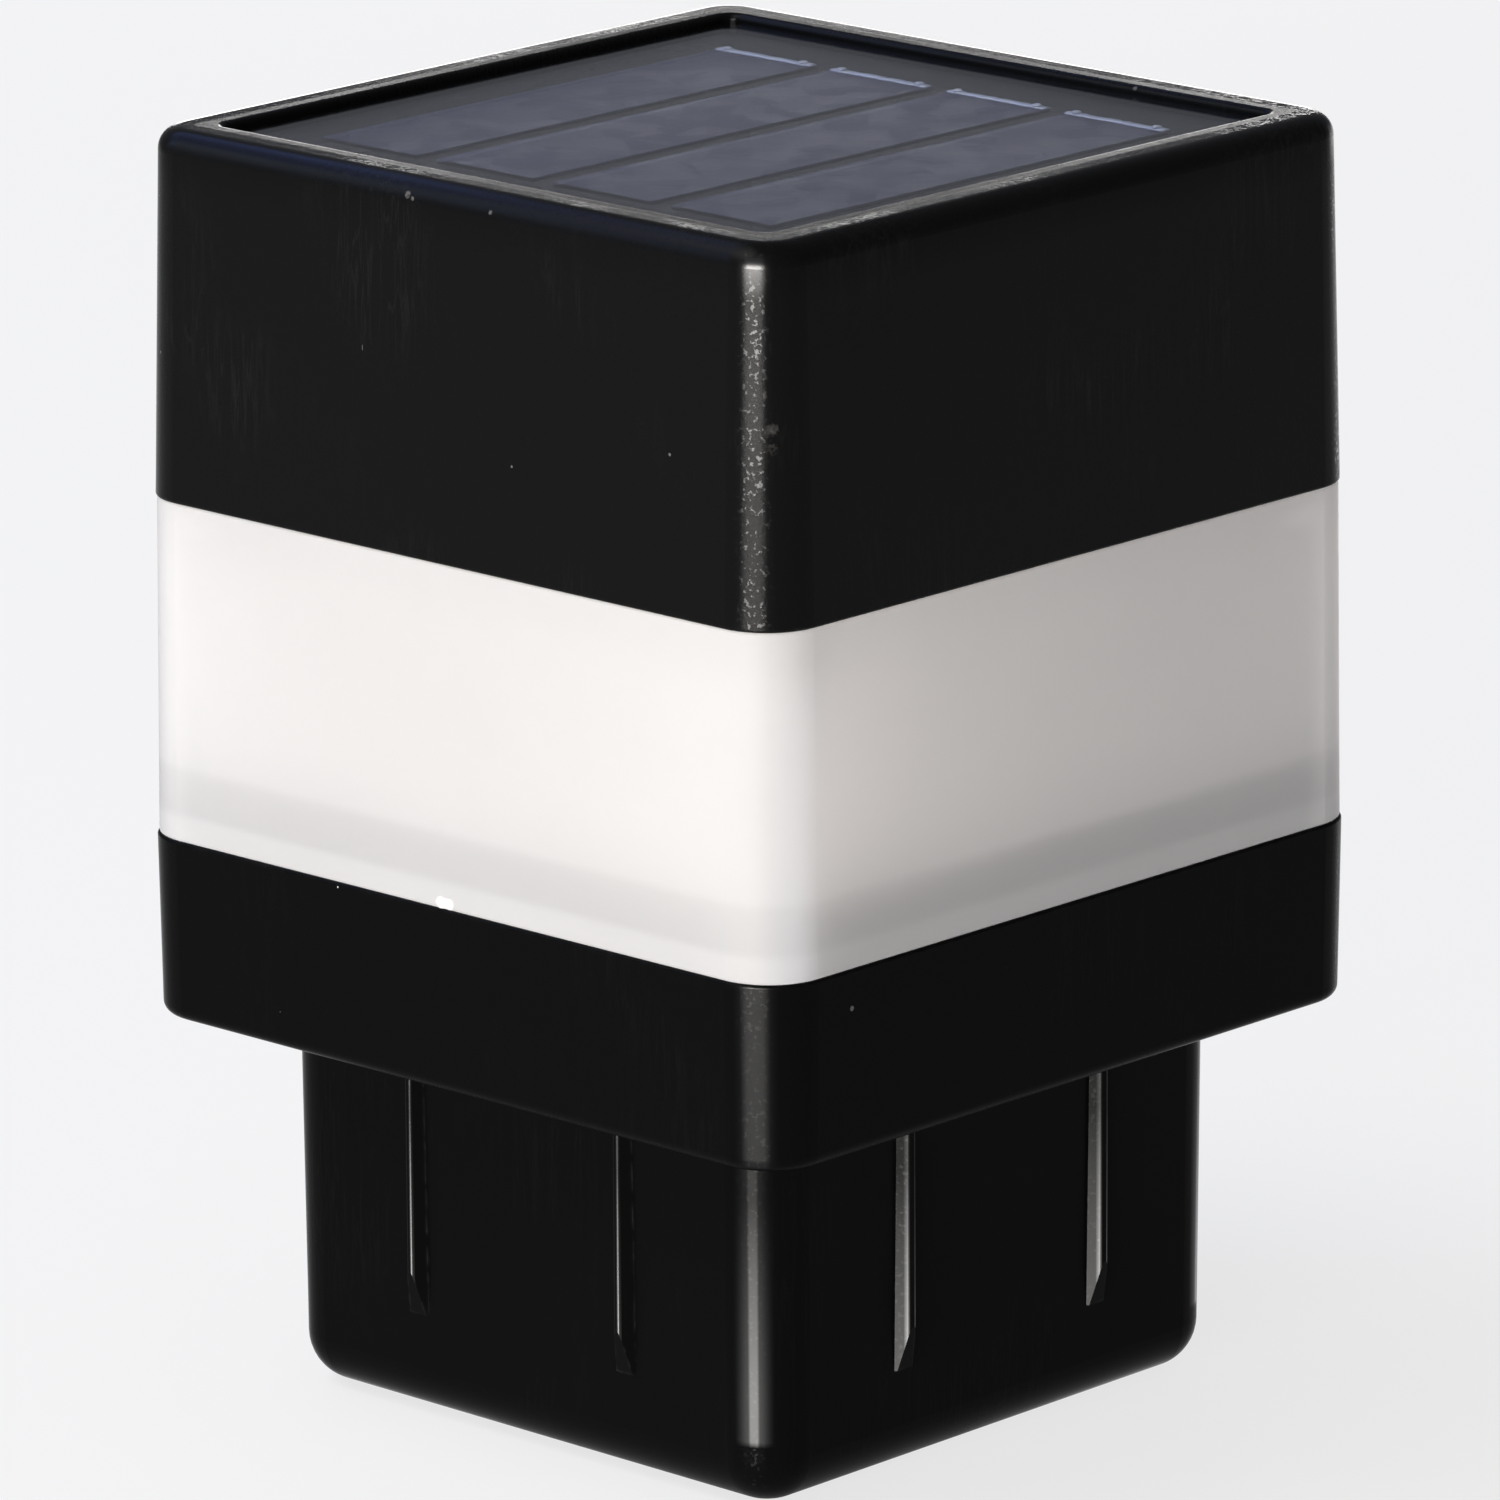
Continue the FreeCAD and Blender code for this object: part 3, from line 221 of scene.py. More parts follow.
def white_paper():
    """Pale matt paper that is seen as nearly white and keeps its shadows."""
    material, tree, output = start_material("floor_paper")
    paper = put(tree, "BsdfPrincipled", Base_Color=PAPER_TONE, Roughness=0.9, Specular_IOR_Level=0.0)
    white = put(tree, "Emission", Color=(1, 1, 1, 1), Strength=1.0)
    ray = put(tree, "LightPath").outputs
    seen = maths(tree, "MAXIMUM", ray["Is Camera Ray"], ray["Is Glossy Ray"])
    seen = maths(tree, "MAXIMUM", seen, ray["Is Transmission Ray"])
    share = maths(tree, "MULTIPLY", seen, FLOOR_WHITE)
    finish_surface(tree, output, mix_shader(tree, share, paper, white))
    return material


floor_mesh = bpy.data.meshes.new("floor")
floor_mesh.from_pydata([(x, y, FLOOR_LOW) for x, y in (
    (-FLOOR_HALF, -FLOOR_HALF), (FLOOR_HALF, -FLOOR_HALF),
    (FLOOR_HALF, FLOOR_HALF), (-FLOOR_HALF, FLOOR_HALF))], [], [(0, 1, 2, 3)])
floor_mesh.materials.append(white_paper())
floor = bpy.data.objects.new("floor", floor_mesh)
bpy.context.scene.collection.objects.link(floor)
print("floor:", 2 * FLOOR_HALF, "m square")

# %% [markdown]
# # Shared effects as node groups
# Several finishes share the same effects: the fine texture that a mould leaves, dust, rub marks,
# worn edges, and a slow drift of tone. Each effect is built once as a node group with named
# inputs and outputs, and every material places it with its own values. A group gives out only
# masks and heights. The shader itself stays in the material. All patterns are laid out in the
# piece's own metres, so that they keep their size and move with the piece.

# %% Group helpers
def own_place(tree):
    """The point on the piece, in metres from the middle of the plug's bottom."""
    return put(tree, "TexCoord").outputs["Object"]


def remap(tree, value, low, high, new_low=0.0, new_high=1.0, smooth=False):
    """Turns one range into another and stops at its ends."""
    kind = "SMOOTHSTEP" if smooth else "LINEAR"
    return put(tree, "MapRange", {"interpolation_type": kind}, Value=value, From_Min=low, From_Max=high,
               To_Min=new_low, To_Max=new_high).outputs["Result"]


def vector_maths(tree, operation, first, second):
    """One sum of two vectors."""
    node = put(tree, "VectorMath", {"operation": operation})
    fill(tree, node.inputs[0], first)
    fill(tree, node.inputs[1], second)
    return node.outputs["Value"]


def new_group(name, inputs, outputs):
    """Empty node group. Returns the group, its given values and its results."""
    group = bpy.data.node_groups.new(name, "ShaderNodeTree")
    for label, default in inputs:
        socket = group.interface.new_socket(name=label, in_out="INPUT", socket_type="NodeSocketFloat")
        socket.default_value = default
    for label in outputs:
        group.interface.new_socket(name=label, in_out="OUTPUT", socket_type="NodeSocketFloat")
    given = group.nodes.new("NodeGroupInput")
    results = group.nodes.new("NodeGroupOutput")
    print("group", name, "takes", [label for label, default in inputs], "and gives", outputs)
    return group, given.outputs, results.inputs


def place_group(tree, group, **sockets):
    """Puts a group into a material, sets its inputs and returns its outputs."""
    return put(tree, "Group", {"node_tree": group}, **sockets).outputs


# %% [markdown]
# ## Mould grain
# A spark-eroded mould leaves a skin of tiny pits. Two layers of noise give the pits, fine and
# coarse, and the result is used as height for a bump and to vary the roughness.

# %% Group: mould grain
FINE_SHARE = 0.6
COARSE_SHARE = 0.4
COARSE_PER_FINE = 0.22
PITS_PER_FINE = 0.7
PIT_EDGE = (0.05, 0.35)


def mould_grain():
    """Group that gives the pits' height, and the roughness's sparkle."""
    group, given, results = new_group("mould_grain", [("Grain Size", 0.25 * MM)], ["Height", "Sparkle"])
    place = own_place(group)
    frequency = maths(group, "DIVIDE", 1.0, given["Grain Size"])
    fine = put(group, "TexNoise", Vector=place, Scale=frequency, Detail=3.0, Roughness=0.6)
    coarse = put(group, "TexNoise", Vector=place, Detail=2.0,
                 Scale=maths(group, "MULTIPLY", frequency, COARSE_PER_FINE))
    pits = put(group, "TexVoronoi", Vector=place, Scale=maths(group, "MULTIPLY", frequency, PITS_PER_FINE))
    height = maths(group, "ADD", maths(group, "MULTIPLY", fine.outputs["Fac"], FINE_SHARE),
                   maths(group, "MULTIPLY", coarse.outputs["Fac"], COARSE_SHARE))
    group.links.new(height, results["Height"])
    group.links.new(remap(group, pits.outputs["Distance"], *PIT_EDGE, 1.0, 0.0), results["Sparkle"])
    return group


grain_group = mould_grain()

# %% [markdown]
# ## Dust and lint
# Dust is sparse: a cell pattern picks a few cells by their random colour, and only a small spot
# in the middle of each is kept. A second pattern stretched along one way gives short fibres.

# %% Group: dust and lint
# Stretch, turn and largest reach of the spots and of the fibres.
DUST_LAYERS = [((1, 1, 1), (0, 0, 0), 0.16), ((1, 1, 0.12), (0.5, 0.9, 0.3), 0.07)]


def dust_and_lint():
    """Group that gives 1 on a speck or a fibre, else 0."""
    settings = [("Amount", 0.05), ("Spot Size", 1.2 * MM)]
    group, given, results = new_group("dust_and_lint", settings, ["Dust"])
    frequency = maths(group, "DIVIDE", 1.0, given["Spot Size"])
    threshold = maths(group, "SUBTRACT", 1.0, given["Amount"])
    dust = 0.0
    for stretch, turned, reach in DUST_LAYERS:
        spread = put(group, "Mapping", Vector=own_place(group), Scale=stretch, Rotation=turned)
        cells = put(group, "TexVoronoi", Vector=spread.outputs["Vector"], Scale=frequency)
        chance = put(group, "SeparateColor", Color=cells.outputs["Color"]).outputs
        picked = maths(group, "GREATER_THAN", chance["Red"], threshold)
        size = maths(group, "MULTIPLY", chance["Green"], reach)
        spot = maths(group, "LESS_THAN", cells.outputs["Distance"], size)
        dust = maths(group, "MAXIMUM", dust, maths(group, "MULTIPLY", picked, spot))
    group.links.new(dust, results["Dust"])
    return group


dust_group = dust_and_lint()

# %% [markdown]
# ## Rub marks
# A garden light is pushed, wiped and packed, which leaves faint lines in patches. Noise stretched
# in three slanted directions is cut to thin lines, and slow noise keeps them to patches.

# %% Group: rub marks
RUB_TURNS = [(0.35, 0.3, 0.5), (-0.6, 0.2, -0.4), (0.1, -0.75, 0.2)]
RUB_STRETCH = (1, 1, 0.06)
RUB_LINE = 0.012
RUB_PATCHES_PER_METRE = 70.0
RUB_PATCH_EDGE = (0.5, 0.68)


def rub_marks():
    """Group that gives thin rubbed lines in patches."""
    group, given, results = new_group("rub_marks", [("Amount", 0.5), ("Spacing", 3 * MM)], ["Marks"])
    place = own_place(group)
    frequency = maths(group, "DIVIDE", 1.0, given["Spacing"])
    marks = 0.0
    for turned in RUB_TURNS:
        spread = put(group, "Mapping", Vector=place, Rotation=turned, Scale=RUB_STRETCH)
        noise = put(group, "TexNoise", Vector=spread.outputs["Vector"], Scale=frequency, Detail=3.0)
        middle = maths(group, "ABSOLUTE", maths(group, "SUBTRACT", noise.outputs["Fac"], 0.5))
        marks = maths(group, "MAXIMUM", marks, remap(group, middle, 0.0, RUB_LINE, 1.0, 0.0))
    patches = put(group, "TexNoise", Vector=place, Scale=RUB_PATCHES_PER_METRE, Detail=2.0)
    where = remap(group, patches.outputs["Fac"], *RUB_PATCH_EDGE)
    shown = maths(group, "MULTIPLY", maths(group, "MULTIPLY", marks, where), given["Amount"])
    group.links.new(shown, results["Marks"])
    return group


rub_group = rub_marks()

# %% [markdown]
# ## Worn edges
# The bevel node gives the direction that a rounded edge would face. Where it differs from the
# real direction there is an edge, and noise breaks that mask up so that the wear is uneven.

# %% Group: worn edges
EDGE_TURN = (0.995, 0.85)
EDGE_BREAKS_PER_METRE = 900.0
EDGE_BREAK_LOW = 0.9
EDGE_BREAK_HIGH = 0.75


def worn_edges():
    """Group that gives the unevenly worn edges."""
    group, given, results = new_group("worn_edges", [("Width", 0.4 * MM), ("Breakup", 0.5)], ["Edge"])
    rounded = put(group, "Bevel", {"samples": 6}, Radius=given["Width"]).outputs["Normal"]
    straight = put(group, "NewGeometry").outputs["Normal"]
    sharp = remap(group, vector_maths(group, "DOT_PRODUCT", rounded, straight), *EDGE_TURN)
    noise = put(group, "TexNoise", Vector=own_place(group), Scale=EDGE_BREAKS_PER_METRE, Detail=4.0)
    break_low = maths(group, "MULTIPLY", given["Breakup"], EDGE_BREAK_LOW)
    broken = remap(group, noise.outputs["Fac"], break_low, EDGE_BREAK_HIGH)
    group.links.new(maths(group, "MULTIPLY", sharp, broken), results["Edge"])
    return group


edge_group = worn_edges()

# %% [markdown]
# ## Slow drift of tone
# No moulding or coating is the same all over. Slow noise moves the tone a little round 1, in
# patches a centimetre or so wide.

# %% Group: tone drift
def tone_drift():
    """Group that gives a slow swing round 1."""
    group, given, results = new_group("tone_drift", [("Patch Size", 12 * MM), ("Strength", 0.2)], ["Drift"])
    slow = put(group, "TexNoise", Vector=own_place(group), Detail=3.0,
               Scale=maths(group, "DIVIDE", 1.0, given["Patch Size"]))
    centred = maths(group, "SUBTRACT", slow.outputs["Fac"], 0.5)
    swing = maths(group, "MULTIPLY", given["Strength"], 2.0)
    group.links.new(maths(group, "ADD", maths(group, "MULTIPLY", centred, swing), 1.0), results["Drift"])
    return group


drift_group = tone_drift()

# %% [markdown]
# # Finishes
# Each finish below is one function that fills a new material, and one helper gives it to pieces
# of the frame. The others mix colours and tell where a point lies: how high it is, which way its
# surface faces, how far it is from the light's middle planes, and whether a ray leaves there. The
# ledge that rests on the post parts the satin collar from the polished plug.

# %% Finish helpers
SHORT_STEP = 0.4 * MM
LEDGE_Z = next(mount["pos_m"][2] for mount in frame["record"]["mounts"]
               if mount["name"] == "post_ledge")


def grey(value):
    """Neutral colour."""
    return (value, value, value, 1)


def dress(material, *names):
    """Gives a material to every slot of the named pieces."""
    for name in names:
        for slot in nodes[name].material_slots:
            slot.material = material
    print(material.name, "on", ", ".join(names))


def mix_colour(tree, factor, low, high):
    """Colour between two others."""
    node = put(tree, "Mix", {"data_type": "RGBA"})
    for index, value in ((0, factor), (6, low), (7, high)):
        fill(tree, node.inputs[index], value)
    return node.outputs[2]


def height_on(tree):
    """Height above the plug's bottom, in metres."""
    return put(tree, "SeparateXYZ", Vector=own_place(tree)).outputs["Z"]


def surface_way(tree):
    """Outputs X, Y and Z of the direction that the surface faces."""
    return put(tree, "SeparateXYZ", Vector=put(tree, "NewGeometry").outputs["Normal"]).outputs


def leave_backs_clear(tree, shader):
    """Lets a ray that leaves a wall from inside pass straight out, so that each wall counts once."""
    return mix_shader(tree, put(tree, "NewGeometry").outputs["Backfacing"], shader,
                      put(tree, "BsdfTransparent"))


def from_middle(tree, choice, low, high, new_low=0.0, new_high=1.0):
    """Range of the larger (MAXIMUM) or the smaller (MINIMUM) distance from the two middle planes."""
    where = put(tree, "SeparateXYZ", Vector=own_place(tree)).outputs
    far = maths(tree, choice, maths(tree, "ABSOLUTE", where["X"]), maths(tree, "ABSOLUTE", where["Y"]))
    return remap(tree, far, low, high, new_low, new_high)


print("the ledge stands", round(LEDGE_Z / MM, 1), "mm above the plug's bottom")

# %% [markdown]
# ## Black moulded plastic
# The cap, the collar, the plug and the battery door are the same black plastic. It is satin on
# the cap and collar, where the mould was textured, and glossier on the plug, where it was
# polished. The mould was rubbed round the body, so its marks spread a highlight up and down and
# keep it narrow from side to side. That is anisotropy, turned by a quarter so that it spreads
# along the upright corner. Dust, rub marks and worn edges are a little paler than the plastic,
# and so are a few knocks, which are placed one by one as in the photograph.

# %% Black plastic: tones and roughness
BLACK_DUST = (0.16, 0.155, 0.145, 1)
BLACK_WORN = (0.035, 0.034, 0.033, 1)
BLACK_KNOCK = (0.11, 0.105, 0.10, 1)
DUST_SHOWN = 0.6
EDGE_SHOWN = 0.7
KNOCK_CORE = 0.4
KNOCK_BREAK = (0.36, 0.60)
# Place and reach in millimetres, and strength, of each knock. The last two are a dull smudge.
KNOCKS = [
    ((-3.5, -29.2, 88.5), 0.5, 1.0), ((-3.0, -29.25, 88.3), 0.35, 1.0), ((4.2, -29.2, 88.4), 0.4, 1.0),
    ((26.4, -28.8, 88.9), 0.35, 1.0), ((28.9, -28.65, 77.4), 1.1, 0.4), ((28.9, -28.65, 76.1), 1.0, 0.3)]
PIT_ROUGHNESS = (1.1, 0.75)
DUST_ROUGHNESS = 0.3
RIM_INNER = 26.6 * MM
LEVEL_WAY = (0.97, 0.995)


def black_effects(tree, dust):
    """Masks and heights of the shared effects at the black plastic's scale."""
    grain = place_group(tree, grain_group, Grain_Size=0.22 * MM)
    return {"pits": grain["Height"], "sparkle": grain["Sparkle"],
            "drift": place_group(tree, drift_group, Patch_Size=14 * MM, Strength=0.30)["Drift"],
            "dust": place_group(tree, dust_group, Amount=dust, Spot_Size=1.6 * MM)["Dust"],
            "marks": place_group(tree, rub_group, Amount=0.6, Spacing=1.6 * MM)["Marks"],
            "edges": place_group(tree, edge_group, Width=0.35 * MM, Breakup=0.45)["Edge"]}


def black_colour(tree, effects, tone, rubbed, knocks):
    """Black, paler where it is rubbed, worn, dusty or knocked."""
    worn = maths(tree, "MAXIMUM", maths(tree, "MULTIPLY", effects["marks"], rubbed),
                 maths(tree, "MULTIPLY", effects["edges"], EDGE_SHOWN))
    colour = mix_colour(tree, worn, grey(tone), BLACK_WORN)
    colour = mix_colour(tree, maths(tree, "MULTIPLY", effects["dust"], DUST_SHOWN), colour, BLACK_DUST)
    for place, reach, strength in knocks:
        away = vector_maths(tree, "DISTANCE", own_place(tree), [length * MM for length in place])
        near = remap(tree, away, KNOCK_CORE * reach * MM, reach * MM, 1.0, 0.0)
        hit = remap(tree, maths(tree, "MULTIPLY", near, effects["pits"]), *KNOCK_BREAK, 0.0, strength)
        colour = mix_colour(tree, hit, colour, BLACK_KNOCK)
    return colour


def black_roughness(tree, effects, satin, rim_share):
    """Roughness, uneven with the pits and the drift, and smoother on the level top of the rim."""
    pitted = remap(tree, effects["sparkle"], 0, 1, *PIT_ROUGHNESS)
    roughness = maths(tree, "MULTIPLY", maths(tree, "MULTIPLY", effects["drift"], pitted), satin)
    roughness = maths(tree, "ADD", roughness, maths(tree, "MULTIPLY", effects["dust"], DUST_ROUGHNESS))
    if rim_share < 1:
        far_out = from_middle(tree, "MAXIMUM", RIM_INNER, RIM_INNER + SHORT_STEP / 2)
        on_rim = maths(tree, "MULTIPLY", far_out, remap(tree, surface_way(tree)["Z"], *LEVEL_WAY))
        roughness = maths(tree, "MULTIPLY", roughness, remap(tree, on_rim, 0.0, 1.0, 1.0, rim_share))
    return roughness


print("knocks on the cap:", len(KNOCKS))

# %% [markdown]
# ## The bright corner
# In the photograph the front corner of each black piece carries a narrow bright line with soft
# sides. Corners are handled and wiped most, so they are the shiniest place. A strip that faces a
# third of the way round each upright corner gets the shader's clear coat. On the cap small
# pimples sparkle in it, and at its top the coat is full where the corner bends over into the
# rim. On the plug it grows towards the foot, stops where the foot rounds in, and is weaker on the
# crush ribs' flanks than on their crests. The strip is a mask of direction and place, so it
# stays on the object.

# %% Black plastic: the bright corner
GLAZE_TURN = math.radians(30)
GLAZE_HALF = math.radians(15)
GLAZE_CORE = 0.5
PLUG_STRIP_SHARE = 0.45
GLAZE_SKIRT = math.radians(22)
SKIRT_WEIGHT = 0.3
UPRIGHT_WAY = (0.45, 0.7)
CAP_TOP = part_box("cap_shell")[1].z
SHOULDER_LOW = CAP_TOP - 4.1 * MM
SHOULDER_HIGH = CAP_TOP - 0.9 * MM
FOOT_ROUND_TOP = 5.0 * MM
FOOT_GLAZE_TOP = 8 * MM
FOOT_GLAZE_END = 22 * MM
PLUG_GLAZE_LEAST = 0.15
RIB_BAND = (12 * MM, 18 * MM)
RIB_CREST = (23.7 * MM, 24.0 * MM)
RIB_FLANK_GLAZE = 0.4
RIB_CREST_GLAZE = 2.2


def turned_corner(tree):
    """1 in a strip a third of the way round an upright corner, with a faint skirt each side."""
    way = surface_way(tree)
    half = remap(tree, height_on(tree), LEDGE_Z - SHORT_STEP, LEDGE_Z,
                 PLUG_STRIP_SHARE * GLAZE_HALF, GLAZE_HALF)
    turn = maths(tree, "ARCTAN2", way["X"], maths(tree, "MULTIPLY", way["Y"], -1.0))
    within = maths(tree, "FLOORED_MODULO", turn, math.pi / 2)
    away = maths(tree, "ABSOLUTE", maths(tree, "SUBTRACT", within, GLAZE_TURN))
    inner = maths(tree, "MULTIPLY", half, GLAZE_CORE)
    core = remap(tree, away, half, inner)
    skirt = remap(tree, away, GLAZE_SKIRT, inner, 0.0, SKIRT_WEIGHT, smooth=True)
    upright = remap(tree, maths(tree, "ABSOLUTE", way["Z"]), *UPRIGHT_WAY, 1.0, 0.0)
    return maths(tree, "MULTIPLY", maths(tree, "MAXIMUM", core, skirt), upright)


def corner_head(tree):
    """1 in the short stretch where an upright corner bends over into the rim."""
    level = height_on(tree)
    return maths(tree, "MULTIPLY", remap(tree, level, SHOULDER_LOW, SHOULDER_HIGH - 2 * SHORT_STEP),
                 remap(tree, level, SHOULDER_HIGH, SHOULDER_HIGH + SHORT_STEP, 1.0, 0.0))


def plug_glaze(tree):
    """Weight of the coat on the plug's corners and ribs."""
    level = height_on(tree)
    weight = remap(tree, level, FOOT_GLAZE_TOP, FOOT_GLAZE_END, 1.0, PLUG_GLAZE_LEAST)
    rib = remap(tree, from_middle(tree, "MINIMUM", *RIB_BAND, 1.0, 0.0), 0.0, 1.0, 1.0,
                from_middle(tree, "MAXIMUM", *RIB_CREST, RIB_FLANK_GLAZE, RIB_CREST_GLAZE))
    above_round = remap(tree, level, FOOT_ROUND_TOP - SHORT_STEP, FOOT_ROUND_TOP)
    return maths(tree, "MULTIPLY", maths(tree, "MULTIPLY", weight, rib), above_round)


def corner_glaze(tree, corner, glazed, glint):
    """Weight of the coat: glazed above the ledge, the plug's own weight below it."""
    above = remap(tree, height_on(tree), LEDGE_Z - SHORT_STEP, LEDGE_Z)
    plain = remap(tree, above, 0.0, 1.0, plug_glaze(tree), glazed)
    shown = maths(tree, "MAXIMUM", maths(tree, "ADD", plain, glint), corner_head(tree))
    return maths(tree, "MULTIPLY", corner, shown)


print("the corner's head:", round(SHOULDER_LOW / MM, 1), "to", round(SHOULDER_HIGH / MM, 1), "mm up")

# %% [markdown]
# ## The black material itself
# The parts above come together here. Two bumps follow each other: one for the pits, the pimples
# and the rub marks, and a very wide one that shades the cap's shoulder as if the walls leaned
# back a little below the rim. One function makes all the black pieces, with values for how
# satin, polished, dusty and rubbed each is.

# %% Black plastic: material
PIMPLES_PER_METRE = 3300.0
PIMPLE_HEIGHT = 1.5
PIMPLE_PATCH = (0.93, 1.01)
PIMPLE_LEAST = 0.25
GLINT_EDGE = (0.58, 0.64)
POLISHED_GRAIN = 0.3
MARK_DEPTH = 0.15
RELIEF_HEIGHT = 0.06 * MM
SHOULDER_CURVE = 22.0
SPREAD_UPWARDS = 0.25


def black_relief(tree, effects, pimples, depth):
    """Surface direction with pits, pimples and rub marks, leaning back on the shoulder."""
    relief = maths(tree, "MULTIPLY", effects["pits"], depth)
    relief = maths(tree, "ADD", relief, maths(tree, "MULTIPLY", pimples, PIMPLE_HEIGHT))
    relief = maths(tree, "SUBTRACT", relief, maths(tree, "MULTIPLY", effects["marks"], MARK_DEPTH))
    fine = put(tree, "Bump", Height=relief, Strength=0.6, Distance=RELIEF_HEIGHT)
    above = maths(tree, "MAXIMUM", maths(tree, "SUBTRACT", height_on(tree), SHOULDER_LOW), 0.0)
    fall = maths(tree, "MULTIPLY", maths(tree, "MULTIPLY", above, above), -SHOULDER_CURVE)
    wide = put(tree, "Bump", Height=fall, Strength=1.0, Distance=1.0, Normal=fine.outputs["Normal"])
    return wide.outputs["Normal"]


def black_plastic(name, tone, gloss, glazed, satin, polished=None, rim_share=1.0, glaze_ior=1.5,
                  glaze_roughness=0.27, glints=1.3, grain=0.35, dust=0.045, rubbed=0.22, knocks=()):
    """Black moulding. Below the ledge it may be polished instead of satin."""
    material, tree, output = start_material(name)
    effects = black_effects(tree, dust)
    depth = grain
    if polished is not None:
        upper = remap(tree, height_on(tree), LEDGE_Z - SHORT_STEP, LEDGE_Z + SHORT_STEP, smooth=True)
        satin = remap(tree, upper, 0.0, 1.0, polished, satin)
        depth = remap(tree, upper, 0.0, 1.0, POLISHED_GRAIN * grain, grain)
    corner = turned_corner(tree)
    noise = put(tree, "TexNoise", Vector=own_place(tree), Scale=PIMPLES_PER_METRE, Detail=3.0)
    bumpy = noise.outputs["Fac"]
    patch = remap(tree, effects["drift"], *PIMPLE_PATCH, PIMPLE_LEAST, 1.0)
    pimples = maths(tree, "MULTIPLY", maths(tree, "MULTIPLY", bumpy, corner), patch)
    glint = maths(tree, "MULTIPLY", remap(tree, bumpy, *GLINT_EDGE), patch)
    glint = maths(tree, "MULTIPLY", glint, glints)
    shader = put(tree, "BsdfPrincipled", Base_Color=black_colour(tree, effects, tone, rubbed, knocks),
                 Roughness=black_roughness(tree, effects, satin, rim_share),
                 Normal=black_relief(tree, effects, pimples, depth), Specular_IOR_Level=gloss,
                 Anisotropic=0.9, Anisotropic_Rotation=SPREAD_UPWARDS,
                 Coat_Weight=corner_glaze(tree, corner, glazed, glint),
                 Coat_Roughness=glaze_roughness, Coat_IOR=glaze_ior)
    finish_surface(tree, output, shader)
    return material


dress(black_plastic("cap_black_satin", tone=0.0034, gloss=0.045, glazed=0.20, satin=0.25,
                    rim_share=0.35, knocks=KNOCKS), "cap_shell")
dress(black_plastic("base_black", tone=0.0024, gloss=0.020, glazed=0.13, satin=0.25, polished=0.22,
                    glaze_ior=2.2, glaze_roughness=0.36, glints=0.12, dust=0.015, rubbed=0.06),
      "base_housing")
dress(black_plastic("door_black", tone=0.0024, gloss=0.03, glazed=0.2, satin=0.32, grain=0.25),
      "battery_door")

# %% [markdown]
# ## Frosted band
# The band is a clear plastic made milky, with walls under 2 mm thick. Light that falls on it is
# partly thrown back and partly let through, which is a diffuse shader mixed with a translucent
# one. The base's black upstand stands close behind the lower part of the wall. It takes the
# light that would come through from inside, so a grey stripe shows there, faint on the lit side
# and darker on the other, and its colour is painted a little greyer as well: painted shade. The
# foot under it is solid, so it lets a little less through.

# %% Frosted plastic
UPSTAND_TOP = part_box("base_housing")[1].z
FOOT_TOP = 41.8 * MM
WALL_SHARE = 0.56
FOOT_SHARE = 0.54
MILKY = (0.95, 0.942, 0.93, 1)
# Greyer tone of the stripe in front of the upstand: painted shade.
MILKY_PAINTED_SHADE = (0.88, 0.87, 0.86, 1)
MILKY_THROUGH = (0.97, 0.925, 0.895, 1)
MILKY_DUST = (0.45, 0.42, 0.38, 1)
MILKY_DUST_SHOWN = 0.5


def frosted_plastic():
    """Milky wall with a stripe of painted shade in front of the upstand."""
    material, tree, output = start_material("frosted_band")
    pits = place_group(tree, grain_group, Grain_Size=0.3 * MM)["Height"]
    drift = place_group(tree, drift_group, Patch_Size=20 * MM, Strength=0.05)["Drift"]
    dust = place_group(tree, dust_group, Amount=0.03, Spot_Size=1.6 * MM)["Dust"]
    level = height_on(tree)
    above_foot = remap(tree, level, FOOT_TOP - SHORT_STEP, FOOT_TOP + SHORT_STEP, smooth=True)
    below_top = remap(tree, level, UPSTAND_TOP - SHORT_STEP, UPSTAND_TOP + SHORT_STEP,
                      1.0, 0.0, smooth=True)
    # Between the foot and the upstand's top the wall is painted greyer: painted shade of the black upstand
    # behind it.
    colour = mix_colour(tree, maths(tree, "MULTIPLY", below_top, above_foot), MILKY, MILKY_PAINTED_SHADE)
    drifted = put(tree, "VectorMath", {"operation": "SCALE"}, Scale=drift)
    tree.links.new(colour, drifted.inputs[0])
    colour = mix_colour(tree, maths(tree, "MULTIPLY", dust, MILKY_DUST_SHOWN),
                        drifted.outputs["Vector"], MILKY_DUST)
    bump = put(tree, "Bump", Height=pits, Strength=0.25, Distance=0.03 * MM)
    surface = put(tree, "BsdfPrincipled", Base_Color=colour, Roughness=0.42, Specular_IOR_Level=0.3,
                  Normal=bump.outputs["Normal"])
    through = put(tree, "BsdfTranslucent", Color=MILKY_THROUGH)
    wall = mix_shader(tree, remap(tree, above_foot, 0.0, 1.0, FOOT_SHARE, WALL_SHARE), surface, through)
    finish_surface(tree, output, leave_backs_clear(tree, wall))
    return material


dress(frosted_plastic(), "diffuser_sleeve")

# %% [markdown]
# ## Solar cells
# The strips are cut from polycrystalline silicon: flat crystals a few millimetres wide that
# each turn the light a little differently, under a blue coating. A cell pattern gives every
# crystal its own tone, fine noise paints paler spots as a painted glint, and thin silver fingers
# cross the strip.

